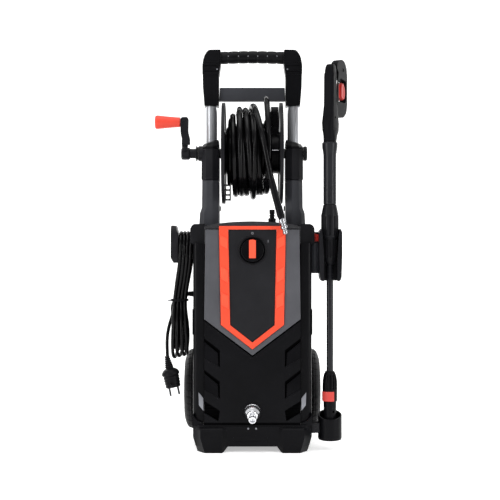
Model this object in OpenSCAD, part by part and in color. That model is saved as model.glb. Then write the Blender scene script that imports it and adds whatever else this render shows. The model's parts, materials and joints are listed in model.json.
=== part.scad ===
// Upright electric pressure washer with a hose reel, a telescopic handle,
// a mains cable on a hook and a spray gun with its lance at the right side.
// Millimetres. The front faces -Y, +Z is up, the floor is z = 0.

/* [Body] */
// Width of the base skirt over its front corners
base_w = 258; // [250:1:258]
// Depth position of the flat front face
front_y = -112; // [-114:1:-111]
// Height of the seam between the base and the panels
base_h = 65; // [62:1:65]
// Half width of the front panels
panel_hw = 104; // [103:0.5:104]
// Height of the deck's outer edge
deck_z = 486; // [484:1:487]
// Thickness of the moulded walls
wall = 3; // [2.5:0.5:3.5]
// Height of the switch's centre
switch_z = 439; // [430:1:442]
// Radius of the switch knob
knob_r = 25; // [22:1:25.5]

/* [Wheels] */
// Radius of the wheels
wheel_r = 92; // [88:0.5:92]
// Height of the axle above the floor
axle_z = 119; // [118:1:122]
// Width of one wheel
wheel_w = 35; // [33:1:36]
// Radius of the axle
axle_r = 8; // [7:0.5:9]
// Distance of the axle behind the middle of the machine
axle_y = 60; // [58:1:62]
// Radial clearance of running parts
run_gap = 0.05; // [0.03:0.01:0.08]

/* [Hose reel] */
// Radius of the reel's flanges
flange_r = 113.4; // [110:0.2:113.4]
// Radius of the drum that the hose is wound on
drum_r = 45; // [43:0.5:45]
// Half distance between the outer faces of the flanges
reel_hw = 68; // [66:0.5:68]
// Radius of the reel's shaft
shaft_r = 11; // [10:0.5:12]
// Height of the reel's shaft
reel_z = 657.3; // [655:0.1:659]

/* [Handle] */
// Diameter of the telescopic tubes
tube_d = 26; // [24:0.5:26]
// Diameter of the hand grip
grip_d = 29; // [26:0.5:29]
// Height of the handle's top edge
handle_top = 896; // [894:1:900]

/* [Gun and lance] */
// Sideways position of the lance
gun_x = 170; // [168:0.5:170]
// Turn of the gun about its lance
gun_turn = 60; // [55:1:62]
// Radius of the lance tube
wand_r = 7.35; // [6.5:0.05:7.5]

/* [Cable and hose] */
// Diameter of the mains cable
cable_d = 7.5; // [6.5:0.5:7.5]
// Diameter of the high pressure hose
hose_d = 13; // [12:0.5:13]

/* [Hidden] */

$fn = 48;
gun_y = -74;
hook_y = -45;
reel_y = -10;
tube_y = 28;
tube_x = 93.5;
tube_r = tube_d / 2;
hook_z = 443;
fold = [-152, reel_y, 666];   // crank fold pin
crank_top = 728;
dark = "#26272b";
black = "#1a1b1e";
orange = "#f6603e";

// Route of the mains lead from its gland to the hank
lead_route = [[-149, 16, 340], [-155, 16, 340], [-163, 15, 338], [-172, 12, 333],
    [-179, 7, 324], [-182, 0, 313], [-180, -8, 299], [-175, -16, 285],
    [-167, -22, 272], [-160, -27, 262]];
// Route of the cable's end from the hank to the plug
tail_route = [[-176, -35, 302], [-180.5, -40, 284], [-184.5, -50, 262],
    [-187, -59.5, 240], [-187.5, -64.5, 222], [-187, -66, 202]];
// Route of the hose's free end over the front of the winding
hose_route = [[-3, 18, 758], [0, -10, 763], [4, -42, 758], [9, -73, 741],
    [15, -97, 716], [21, -111, 689], [27, -117, 660], [33, -119, 630],
    [39, -120, 600], [45, -121, 574], [51, -123, 550], [57, -125, 528]];

// ---- helpers ----------------------------------------------------------
module xz(y0, t) translate([0, y0 + t, 0]) rotate([90, 0, 0]) linear_extrude(t) children();
module yz(x0, t) translate([x0, 0, 0]) rotate([90, 0, 90]) linear_extrude(t) children();
module xcyl(x0, x1, y, z, r) translate([x0, y, z]) rotate([0, 90, 0]) cylinder(r = r, h = x1 - x0);
module ycyl(y0, y1, x, z, r) translate([x, y0, z]) rotate([-90, 0, 0]) cylinder(r = r, h = y1 - y0);
module both() for (s = [0, 1]) mirror([s, 0, 0]) children();
module box(a, b) translate(a) cube(b - a);

function unit(v) = v / norm(v);
function heading(p, i) = unit(i == 0 ? p[1] - p[0]
    : i == len(p) - 1 ? p[i] - p[i - 1] : p[i + 1] - p[i - 1]);
function rings(p, i = 0, last = undef, acc = []) = i == len(p) ? acc :
    let (t = heading(p, i),
         s = last == undef ? cross(t, abs(t[2]) < 0.8 ? [0, 0, 1] : [1, 0, 0])
             : last - t * (last * t),
         a = unit(s))
    rings(p, i + 1, a, concat(acc, [[a, cross(t, a)]]));
module cord_tube(p, r, n = 10) {
    f = rings(p);
    m = len(p);
    pts = [for (i = [0 : m - 1]) for (k = [0 : n - 1])
        p[i] + r * (cos(360 * k / n) * f[i][0] + sin(360 * k / n) * f[i][1])];
    polyhedron(pts, concat(
        [[for (k = [0 : n - 1]) k]],
        [for (i = [0 : m - 2]) for (k = [0 : n - 1])
            [i * n + k, (i + 1) * n + k, (i + 1) * n + (k + 1) % n, i * n + (k + 1) % n]],
        [[for (k = [n - 1 : -1 : 0]) (m - 1) * n + k]]));
}

// ---- base and body shells --------------------------------------------
module base_tray() color(dark) difference() {
    union() {
        difference() {
            union() {
                box([-base_w / 2, front_y, 10], [base_w / 2, -58, base_h - 1]);
                both() linear_extrude(56) polygon([[-base_w / 2, -96], [-111, -120],
                    [-63, -120], [-60, front_y], [-60, -60], [-base_w / 2, -60]]);
                box([-112, -60, 10], [112, 97, base_h - 1]);
            }
            box([-123, front_y + 6, 16], [123, -64, 80]);
            box([-106, -66, 16], [106, 91, 80]);
        }
        both() box([100, 36, 14], [112, 84, 146]);
        both() box([70, 58, 0], [106, 90, 16.1]);
    }
    xcyl(-130, 130, axle_y, axle_z, axle_r);
}
module rib_l(z) polygon([[-104, z], [-70, z - 26], [-70, z - 62], [-104, z - 41]]);
module slot_l() polygon([[-101, 112], [-71, 93], [-74, 71], [-101, 88]]);
module front_panel_lower() color(black) difference() {
    union() {
        xz(front_y, 4) polygon([[-panel_hw, base_h + 1], [panel_hw, base_h + 1],
            [panel_hw, 288], [0, 209.6], [-panel_hw, 288]]);
        both() box([panel_hw - wall, front_y + 3.9, 116], [panel_hw, front_y + 11.4, 286]);
        difference() {
            ycyl(front_y + 3.9, front_y + 24, 0, 92, 24.4);
            ycyl(front_y, front_y + 21, 0, 92, 21);
            box([-40, -115, 50], [40, -50, base_h + 0.5]);
        }
    }
    both() xz(front_y - 1, 6) { rib_l(248); rib_l(180); }
    both() xz(front_y - 1, 30) slot_l();
    ycyl(front_y - 1, front_y + 10, 0, 92, 21);
    ycyl(front_y - 1, front_y + 40, 0, 92, 9);
}
module vent_inserts() color(black) both() {
    xz(front_y + 2, 2) { rib_l(248); rib_l(180); }
}
module vent_plates() color("#b9bcc2") both() xz(front_y + 10.6, 1.4)
    polygon([[-116.6, 131.5], [-106.2, 118.5], [-106.2, 91.5], [-115.8, 103.5]]);
module shield(hw, top, k, z0) polygon([[-hw, top], [-hw + k, z0 + 0.78 * (hw - k)],
    [0, z0], [hw - k, z0 + 0.78 * (hw - k)], [hw, top]]);
module front_panel_upper() color("#3c3d42") difference() {
    union() {
        xz(front_y, 4) polygon([[-panel_hw, 290.5], [-panel_hw + 2.5, deck_z - 2],
            [panel_hw - 2.5, deck_z - 2], [panel_hw, 290.5], [0, 212]]);
        both() box([panel_hw - wall - 2.5, front_y + 3.9, 292], [panel_hw - 2.5, front_y + 11.4, deck_z - 2]);
    }
    xz(front_y - 1, 6) shield(72, 492, 4, 225.7);
}
module trim_frame() color(orange) difference() {
    xz(front_y - 3, 7) shield(72, 492, 4, 225.7);
    xz(front_y - 4, 9) shield(52, deck_z - 2, 4, 240.6);
}
module control_plate() color("#303136") difference() {
    xz(front_y, 4) shield(52, deck_z - 2, 4, 240.6);
    ycyl(front_y - 1, front_y + 5, 0, switch_z, 26);
}
module switch_bezel() color(black) difference() {
    union() {
        ycyl(front_y - 4, front_y, 0, switch_z, 30);
        ycyl(front_y - 0.1, front_y + 6, 0, switch_z, 26);
    }
    ycyl(front_y - 5, front_y + 7, 0, switch_z, knob_r + 0.5);
}
module switch_box() color("#55575c") difference() {
    union() {
        box([-28, front_y + 6, switch_z - 34], [28, front_y + 48, switch_z + 30]);
    }
    ycyl(front_y + 5, front_y + 30, 0, switch_z, 4 + run_gap);
}
module switch_knob() color(black) difference() {
    union() {
        ycyl(front_y - 6, front_y + 5.5, 0, switch_z, knob_r);
        xz(front_y - 22, 17) translate([0, switch_z]) intersection() {
            circle(r = knob_r - 1);
            square([17, 60], center = true);
        }
        ycyl(front_y + 5.4, front_y + 28, 0, switch_z, 4);
    }
    box([-7.8, front_y - 23, switch_z - 17], [7.8, front_y - 20, switch_z + 30]);
}
module switch_pointer() color(orange)
    xz(front_y - 22, 2) translate([0, switch_z]) intersection() {
        circle(r = knob_r - 1);
        translate([-7.8, -17]) square([15.6, 60]);
    }
module top_deck() color(black) difference() {
    union() {
        xz(front_y + 4, 202) polygon([[-panel_hw, deck_z], [-panel_hw, 491],
            [-62, 499], [0, 502], [62, 499], [panel_hw, 491], [panel_hw, deck_z]]);
        both() box([panel_hw - wall, -100, 453], [panel_hw, 94, deck_z + 1]);
    }
    both() box([73, -38, 440], [125, 52, 520]);
    translate([43.5, -60, 480]) cylinder(r = 7.05, h = 30);
}
module side_shell() {
    difference() {
        union() {
            box([104.5, -100, base_h + 1], [129, -54, 452]);
            box([104.5, -54.1, base_h + 1], [116, 97, 452]);
            box([104.5, -54.1, 235], [126, 88, 452]);
        }
        box([104, -100 + wall, base_h + 1 + wall], [129 - wall, -57, 449]);
        box([104, -57.1, base_h + 1 + wall], [116 - wall, 94, 449]);
        box([104, -57.1, 238], [126 - wall, 85, 449]);
        box([100, -37, 430], [122, 51, 460]);
        box([104, 34, base_h], [113, 86, base_h + 10]);
        xcyl(100, 130, axle_y, axle_z, axle_r + 2);
    }
    box([128.9, -98, 255], [130.5, -84, 312]);
}
module side_cover_left() color(black) mirror([1, 0, 0]) side_shell();
module side_cover_right() color(black) side_shell();
module rear_cover() color(black) difference() {
    box([-103.5, 94.3, base_h + 1], [103.5, 99, deck_z - 1]);
    for (z = [150 : 14 : 276]) box([-60, 90, z], [60, 100, z + 5]);
}

// ---- inner works -------------------------------------------------------
module motor() color("#8f9298") {
    translate([0, 10, 190]) cylinder(r = 60, h = 150);
    translate([0, 10, 339.9]) cylinder(r = 68, h = 38);
    box([-20, 60, 230], [20, 84, 300]);
}
module pump_head() color("#a9abb0") {
    translate([0, 6, 120]) cylinder(r = 42, h = 70);
    box([-38, -50, 66], [38, 50, 120.1]);
    ycyl(-94.2, -49.9, 0, 92, 8.9);
    translate([43.5, -60, 80]) cylinder(r = 5, h = 406);
    box([30, -66, 70], [50, -40, 84]);
}
module tilted() translate([0, front_y + 14, 99]) rotate([22, 0, 0]) children();
module inlet_adaptor() color("#d4d6da") tilted() rotate([90, 0, 0])
    rotate_extrude() polygon([[0, 0], [8, 0], [8, 5], [15.6, 8], [17.6, 12], [17.6, 27],
        [16.4, 31], [12.5, 37], [11, 41], [8.5, 42.5], [8.5, 56], [0, 56]]);
module outlet_fitting() color(black) translate([43.5, -60, 498]) rotate_extrude()
    polygon([[0, -10], [7, -10], [7, 2.3], [8.5, 2.3], [8.5, 12], [5, 13], [5, 16], [6, 16],
        [6, 31], [0, 31]]);

// ---- posts, reel bearings, brackets ------------------------------------
module posts() color("#4b4d53") both() difference() {
    union() {
        xz(-34, 80) polygon([[-121, 385], [-121, 470], [-113.5, 597], [-75, 597],
            [-74, 470], [-74, 385]]);
        xcyl(-75, -71, 8, 534, 6);
    }
    translate([-tube_x, tube_y, 380]) cylinder(r = tube_r + run_gap, h = 300);
}
module bearing_housings() color(dark) difference() {
    union() {
        both() xz(-36, 84) polygon([[-114, 597], [-114, 668], [-109, 682], [-75, 690],
            [-75, 597]]);
        xcyl(-121.7, -75, reel_y, reel_z, 17);
        xcyl(75, 114.5, reel_y, reel_z, 17);
    }
    both() translate([-tube_x, tube_y, 590]) cylinder(r = tube_r + run_gap, h = 120);
    xcyl(-130, -70, reel_y, reel_z, 14);
    xcyl(70, 130, reel_y, reel_z, 14);
}
module reel_bushes() color("#d9d4c4") difference() {
    union() {
        xcyl(-121.7, -75, reel_y, reel_z, 14);
        xcyl(75, 114.5, reel_y, reel_z, 14);
    }
    xcyl(-130, 130, reel_y, reel_z, shaft_r + run_gap);
}
module corner_block() {
    box([-136, -82, 452.5], [-104.5, -39, 497]);
}
module cable_hook() color(dark) {
    corner_block();
    xcyl(-163.1, -135.9, hook_y, hook_z, 24);
    yz(-179, 16) polygon([[-80, 420], [-74, 412], [-28, 412], [-22, 420], [-18, 484],
        [-26, 494], [-68, 494], [-78, 484]]);
}
module cable_gland() color(black) rotate([0, 0, 0]) translate([-126.5, 16, 340])
    rotate([0, -90, 0]) rotate_extrude() polygon([[0, 0], [10, 0], [10, 5], [7, 6],
        [5.2, 22.5], [0, 22.5]]);
module gun_holder() color(dark) difference() {
    union() {
        mirror([1, 0, 0]) corner_block();
        box([129.3, -76, 389], [147, -56, 456]);
        box([129.3, -76, 452.5], [147, -40, 458]);
        box([129.3, -46, 456], [147, -36, 480]);
        box([145, -101, 372], [195, -49, 487]);
    }
    box([149.5, -102, 371], [190.5, -53.5, 488]);
    box([130.3, -77, 458], [146.9, -46, 500]);
}
module holder_latch() color("#c22a26") box([131, -70, 458.5], [146.4, -52, 478]);
module lance_cup() color(dark) {
    difference() {
        translate([gun_x, gun_y, 24]) cylinder(r = 26, h = 64);
        translate([gun_x, gun_y, 29]) cylinder(r = 23, h = 64);
        yz(gun_x - 40, 80) polygon([[gun_y - 30, 70], [gun_y + 30, 89], [gun_y + 30, 99],
            [gun_y - 30, 99]]);
    }
    box([129.3, -96, 42], [146, -64, 63]);
}
module axle() color("#b8babf") xcyl(-150, 150, axle_y, axle_z, axle_r);

// ---- telescopic handle ---------------------------------------------------
module handle_tubes() color("#dcdee2") both() difference() {
    translate([-tube_x, tube_y, 450]) cylinder(r = tube_r, h = 390);
    translate([-tube_x, tube_y, 449]) cylinder(r = tube_r - 1.5, h = 380);
}
module handle_corners() color(black) both() difference() {
    xz(tube_y - 20, 40) polygon([[-109, 768], [-114, 850], [-113, 880],
        [-103, handle_top], [-75, handle_top], [-72, handle_top - 5], [-72, 852],
        [-76, 768]]);
    translate([-tube_x, tube_y, 760]) cylinder(r = tube_r, h = 80);
}
module handle_grip() color(black) xcyl(-72, 72, tube_y, handle_top - 2 - grip_d / 2, grip_d / 2);
module handle_crossbar() color("#34353a")
    xz(tube_y - 10, 20) polygon([[-75.4, 780], [-73.9, 810.7], [73.9, 810.7], [75.4, 780]]);

// ---- hose reel -------------------------------------------------------------
module reel_shaft() color(dark) difference() {
    union() {
        xcyl(-141, 115.1, reel_y, reel_z, shaft_r);
        xcyl(-125.5, -122.2, reel_y, reel_z, 17);
        xcyl(-160, -140.9, reel_y, reel_z, 14);
        xcyl(115, 123.5, reel_y, reel_z, 16.5);
        xcyl(122.2, 124, reel_y, reel_z, 12);
    }
    box([-161, reel_y - 4.6, 650], [-142, reel_y + 4.6, 690]);
    ycyl(reel_y - 30, reel_y + 30, fold[0], fold[2], 3);
}
module reel_drum() color(black) difference() {
    xcyl(-60, 60, reel_y, reel_z, drum_r);
    xcyl(-56, 56, reel_y, reel_z, drum_r - 3);
    xcyl(-61, 61, reel_y, reel_z, shaft_r);
}
module reel_flanges() color("#2e2f33") both() difference() {
    union() {
        xcyl(-66, -63, reel_y, reel_z, flange_r - 1);
        difference() {
            xcyl(-reel_hw, -60.2, reel_y, reel_z, flange_r);
            xcyl(-70, -50, reel_y, reel_z, flange_r - 6);
        }
        xcyl(-63.1, -60, reel_y, reel_z, drum_r + 4);
    }
    xcyl(-70, -50, reel_y, reel_z, shaft_r);
}
module hose_coupling() color(black) difference() {
    union() {
        box([42, reel_y - 27, reel_z], [58, reel_y + 27, reel_z + 104]);
        box([29, reel_y - 27, reel_z], [42.1, reel_y + 27, reel_z + 93]);
    }
    xcyl(20, 70, reel_y, reel_z, drum_r);
}
module hose_clip() color(black) {
    for (z = [551 : 11 : 584]) box([-62.9, reel_y - 9, z], [-48, reel_y + 9, z + 4]);
    box([-51, reel_y - 9, 551], [-48, reel_y - 5, 588]);
    box([-51, reel_y + 5, 551], [-48, reel_y + 9, 588]);
}
module hose_coil() color(black) translate([0, reel_y, reel_z]) rotate([0, 90, 0])
    rotate_extrude($fn = 64) polygon([[drum_r, -58], [66, -58], [66, -47.5], [96, -46.5],
        [108, -36], [108, -15], [95.5, -12], [95.5, 27], [88, 28.5], [drum_r, 28.5]]);
module hose_lead() color(black) cord_tube(hose_route, hose_d / 2, 12);
// Sleeve and plug-in nipple at the hose's free end
module hose_fitting() color("#c9cbd0") translate([57, -125, 528])
    rotate([0, 164.8, 0]) rotate([5, 0, 0]) rotate_extrude() polygon([[0, 0], [8, 0],
        [8, 22], [7, 24], [9.5, 26], [9.5, 36], [6, 37], [6, 42], [8, 43], [8, 48],
        [6, 50], [6, 57], [0, 57]]);

// ---- crank ---------------------------------------------------------------------
module crank_arm() color(dark) difference() {
    union() {
        xz(reel_y - 9, 18) polygon([[-158, 676.5], [-158, 687], [-161.5, 694],
            [-161.5, 736], [-158.5, 739], [-147, 739], [-144, 736], [-144, 700],
            [-140.5, 690], [-140.5, 676.5]]);
        xz(reel_y - 4, 8) { translate([fold[0], fold[2]]) circle(r = 8.5);
            polygon([[-160.5, 666], [-158, 680], [-146, 680], [-143.5, 666]]); }
        xcyl(-214, -161, reel_y, crank_top, 4);
    }
    ycyl(reel_y - 20, reel_y + 20, fold[0], fold[2], 3 + run_gap);
}
module crank_pin() color("#b8babf") {
    ycyl(reel_y - 13, reel_y + 13, fold[0], fold[2], 3);
    ycyl(reel_y - 17, reel_y - 13, fold[0], fold[2], 5);
}
module crank_grip() color(orange) translate([0, reel_y, crank_top]) rotate([0, -90, 0])
    rotate_extrude() polygon([[4 + run_gap, 162], [11, 162], [11.6, 164], [13, 190],
        [15, 210], [15.7, 215], [14, 219], [0, 219], [0, 214.5], [4 + run_gap, 214.5]]);

// ---- wheels ---------------------------------------------------------------------
module wheel_side(s) mirror([s, 0, 0]) translate([121, axle_y, axle_z]) rotate([0, 90, 0]) children();
module tyre_shape() rotate_extrude($fn = 96) polygon([[66, 4], [80, 1], [88, 3],
    [wheel_r - 0.6, 8], [wheel_r, 12], [wheel_r, 18], [wheel_r - 1.6, 22], [86, 27],
    [80, 30.4], [72, wheel_w - 2.4], [66, wheel_w - 1.6]]);
module rim_shape() rotate_extrude($fn = 72) polygon([[axle_r + run_gap, -3], [16, -3],
    [16, 6], [60, 6], [60, 4], [66, 4], [66, wheel_w - 1.6], [62, wheel_w - 1.2], [58, 28],
    [34, 26], [30, wheel_w + 0.6], [0, wheel_w + 1], [0, 29.5], [axle_r + run_gap, 29.5]]);
module tyre_left() color(black) wheel_side(1) tyre_shape();
module tyre_right() color(black) wheel_side(0) tyre_shape();
module rim_left() color(dark) wheel_side(1) rim_shape();
module rim_right() color(dark) wheel_side(0) rim_shape();

// ---- gun and lance -----------------------------------------------------------------
module gun_frame() translate([gun_x, gun_y, 0]) rotate([0, 0, gun_turn]) children();
module lance_frame() translate([gun_x, gun_y, 0]) children();
module gun_body() polygon([[-12, 843.7], [-18, 829.9], [-20, 765.7], [-20, 701.6],
    [-14, 676.1], [14, 676.1], [24, 686.7], [32, 702.5], [32, 842.7], [14, 847.6],
    [-6, 846.6]]);
module gun_bow() polygon([[31, 734.1], [50, 734.1], [66, 747.9], [69, 763.7], [69, 830.9],
    [66, 848.6], [56, 860.5], [42, 863.4], [28, 860.5], [18, 850.6], [16, 840.7], [31, 830.9]]);
module gun_gap() polygon([[34, 752.9], [58, 752.9], [63, 765.7], [63, 823], [40, 823],
    [34, 813.1]]);
module trigger_room() polygon([[10, 779.5], [30, 773.6], [36, 771.6], [36, 821], [10, 817]]);
module gun_half(a) difference() {
    union() {
        xz(a > 0 ? 0 : -14, 14) gun_body();
        xz(a > 0 ? 0 : -6, 6) gun_bow();
    }
    xz(-20, 40) gun_gap();
    xz(-7, 14) trigger_room();
    translate([0, 0, 667]) cylinder(r = 8.1, h = 108.6);
    ycyl(-20, 20, 48, 840.7, 4 + run_gap);
    ycyl(-12, 12, 22, 795.3, 2.5);
    translate([44, 0, 731.2]) cylinder(r = 4.5, h = 17.7);
}
module gun_shell_left() color("#3a3c41") gun_frame() gun_half(1);
module gun_shell_right() color("#3a3c41") gun_frame() gun_half(-1);
module gun_sleeve() color("#44464c") lance_frame() {
    translate([0, 0, 539.7]) cylinder(r = 13.8, h = 136.2);
    translate([0, 0, 505.1]) cylinder(r = 6, h = 35.6);
    translate([0, 0, 675.8]) cylinder(r = 8, h = 96.8);
}
module trigger() color("#d8362c") gun_frame() difference() {
    xz(-6, 12) polygon([[14, 787.4], [22, 785.4], [38, 777.6], [55, 775.6], [57, 791.4],
        [56, 811.1], [46, 816], [34, 807.2], [22, 803.2], [14, 801.2]]);
    ycyl(-12, 12, 22, 795.3, 2.5 + run_gap);
}
module trigger_lock() color(black) gun_frame() ycyl(-8.5, 8.5, 48, 840.7, 4);
module coupling_nut() color(dark) lance_frame() difference() {
    rotate_extrude() polygon([[0, 408.4], [7.6, 408.4], [14.4, 419.3], [15.9, 440],
        [15.9, 465.7], [19.1, 467.6], [19.1, 518], [14, 539.3], [0, 539.3]]);
    translate([0, 0, 499.2]) cylinder(r = 6 + run_gap, h = 60);
    translate([0, 0, 400]) cylinder(r = wand_r, h = 94.6);
}
module lance_wand() color("#2b2c30") lance_frame() translate([0, 0, 123.2])
    cylinder(r = wand_r, h = 371.1);
module nozzle_head() color(black) lance_frame() difference() {
    rotate_extrude() polygon([[0, 29.8], [11, 29.8], [13.3, 33.4], [13.3, 106.4],
        [16.6, 108.4], [16.6, 134], [11.5, 171.5], [9.5, 174.5], [0, 174.5]]);
    translate([0, 0, 122.7]) cylinder(r = wand_r + run_gap, h = 60);
    translate([0, 0, 26]) cylinder(r = 5, h = 28);
}
module nozzle_tab() color("#f0483a") lance_frame() intersection() {
    difference() {
        translate([0, 0, 109.4]) cylinder(r = 18, h = 21.7);
        translate([0, 0, 100]) cylinder(r = 16.6, h = 36);
    }
    box([-19, -19, 100], [8, -4, 135]);
}

// ---- mains cable and hose end -----------------------------------------------------------
module mains_lead() color(black) cord_tube(lead_route, cable_d / 2, 10);
module mains_tail() color(black) cord_tube(tail_route, cable_d / 2, 10);
module mains_hank() color(black) difference() {
    intersection() {
        yz(-187, 54) union() {
            translate([hook_y, hook_z]) circle(r = 39.5);
            translate([hook_y, 236]) circle(r = 34);
            polygon([[hook_y - 39.5, hook_z], [hook_y - 36, 400], [hook_y - 19, 340],
                [hook_y - 19, 318], [hook_y - 34, 246], [hook_y - 34, 236],
                [hook_y + 34, 236], [hook_y + 34, 246], [hook_y + 19, 318],
                [hook_y + 19, 340], [hook_y + 36, 400], [hook_y + 39.5, hook_z]]);
        }
        xz(-100, 120) polygon([[-162, 500], [-136.4, 500], [-136.4, 450], [-134, 446], [-134, 410], [-144, 345],
            [-145, 318], [-137, 270], [-137, 195], [-183, 195], [-183, 270], [-178, 318],
            [-177, 345], [-162, 412]]);
    }
    xcyl(-170, -120, hook_y, hook_z, 24.3);
    xcyl(-200, -162.5, hook_y, hook_z, 42);
}
module plug() color(black) translate([-187, -66, 202]) rotate([0, -11.8, 0]) {
    rotate_extrude() polygon([[0, 0], [4.4, 0], [6, -8], [7, -22], [13, -27], [19.5, -33],
        [19.5, -52], [18, -60], [17, -65], [0, -65]]);
    for (x = [-9.5, 9.5]) translate([x, 0, -84]) cylinder(r = 2.4, h = 20);
}

base_tray();
front_panel_lower();
front_panel_upper();
vent_inserts();
vent_plates();
trim_frame();
control_plate();
switch_bezel();
switch_box();
top_deck();
side_cover_left();
side_cover_right();
rear_cover();
motor();
pump_head();
inlet_adaptor();
outlet_fitting();
axle();
posts();
bearing_housings();
reel_bushes();
cable_hook();
cable_gland();
gun_holder();
holder_latch();
lance_cup();
handle_tubes();
handle_corners();
handle_grip();
handle_crossbar();
reel_shaft();
reel_drum();
reel_flanges();
hose_coupling();
hose_clip();
crank_arm();
crank_pin();
crank_grip();
tyre_left();
tyre_right();
rim_left();
rim_right();
switch_knob();
switch_pointer();
gun_shell_left();
gun_shell_right();
gun_sleeve();
trigger();
trigger_lock();
coupling_nut();
lance_wand();
nozzle_head();
nozzle_tab();
mains_lead();
mains_hank();
mains_tail();
plug();
hose_coil();
hose_lead();
hose_fitting();
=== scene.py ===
"""Looks of the upright pressure washer: every visible piece is built or refined here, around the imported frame."""
import json
import math
import random

import bmesh
import bpy
from mathutils import Matrix, Vector


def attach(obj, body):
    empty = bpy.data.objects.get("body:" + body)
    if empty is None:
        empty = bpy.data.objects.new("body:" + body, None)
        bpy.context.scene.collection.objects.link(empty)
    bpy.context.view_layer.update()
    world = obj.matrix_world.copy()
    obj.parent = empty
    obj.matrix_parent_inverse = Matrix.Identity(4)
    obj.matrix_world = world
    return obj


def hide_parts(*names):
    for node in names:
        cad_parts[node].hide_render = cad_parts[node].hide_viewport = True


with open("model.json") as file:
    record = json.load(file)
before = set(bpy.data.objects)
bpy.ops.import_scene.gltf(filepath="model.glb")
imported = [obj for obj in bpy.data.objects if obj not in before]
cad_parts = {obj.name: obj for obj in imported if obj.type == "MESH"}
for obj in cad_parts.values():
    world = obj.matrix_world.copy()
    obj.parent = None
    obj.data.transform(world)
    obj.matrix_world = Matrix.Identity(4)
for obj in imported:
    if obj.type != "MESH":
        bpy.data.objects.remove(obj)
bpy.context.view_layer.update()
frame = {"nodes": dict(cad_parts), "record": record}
RNG = random.Random(7)
MM = 0.001
SC = bpy.context.scene

# ------------------------------------------------------------------ camera
cam_data = bpy.data.cameras.new("cam")
cam_data.lens = 73.67
cam_data.sensor_width = 36.0
cam_data.clip_start = 0.05
cam = bpy.data.objects.new("cam", cam_data)
SC.collection.objects.link(cam)
cam.location = (-0.00516, -2.318, 0.4399)
cam.rotation_euler = (math.radians(90), 0, 0)
SC.camera = cam


# ------------------------------------------------------------------ materials
def _mat(name):
    m = bpy.data.materials.new(name)
    m.use_nodes = True
    nt = m.node_tree
    nt.nodes.clear()
    out = nt.nodes.new("ShaderNodeOutputMaterial")
    b = nt.nodes.new("ShaderNodeBsdfPrincipled")
    nt.links.new(b.outputs[0], out.inputs[0])
    return m, nt, b


def _noise(nt, scale, detail=4.0, rough=0.55, coord=None, dist=0.0):
    n = nt.nodes.new("ShaderNodeTexNoise")
    n.inputs["Scale"].default_value = scale
    n.inputs["Detail"].default_value = detail
    n.inputs["Roughness"].default_value = rough
    n.inputs["Distortion"].default_value = dist
    if coord is not None:
        nt.links.new(coord, n.inputs["Vector"])
    return n


def _ramp(nt, src, stops):
    r = nt.nodes.new("ShaderNodeValToRGB")
    while len(r.color_ramp.elements) < len(stops):
        r.color_ramp.elements.new(0.5)
    for e, (p, c) in zip(r.color_ramp.elements, stops):
        e.position = p
        e.color = (c, c, c, 1) if isinstance(c, (int, float)) else (*c, 1)
    nt.links.new(src, r.inputs[0])
    return r


def _mapr(nt, src, a, b, c, d):
    m = nt.nodes.new("ShaderNodeMapRange")
    m.inputs[1].default_value, m.inputs[2].default_value = a, b
    m.inputs[3].default_value, m.inputs[4].default_value = c, d
    nt.links.new(src, m.inputs[0])
    return m.outputs[0]


def _mix(nt, fac, a, b):
    m = nt.nodes.new("ShaderNodeMix")
    m.data_type = "RGBA"
    if isinstance(fac, (int, float)):
        m.inputs[0].default_value = fac
    else:
        nt.links.new(fac, m.inputs[0])
    for s, v in ((m.inputs[6], a), (m.inputs[7], b)):
        if isinstance(v, tuple):
            s.default_value = (*v, 1)
        else:
            nt.links.new(v, s)
    return m.outputs[2]


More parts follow.
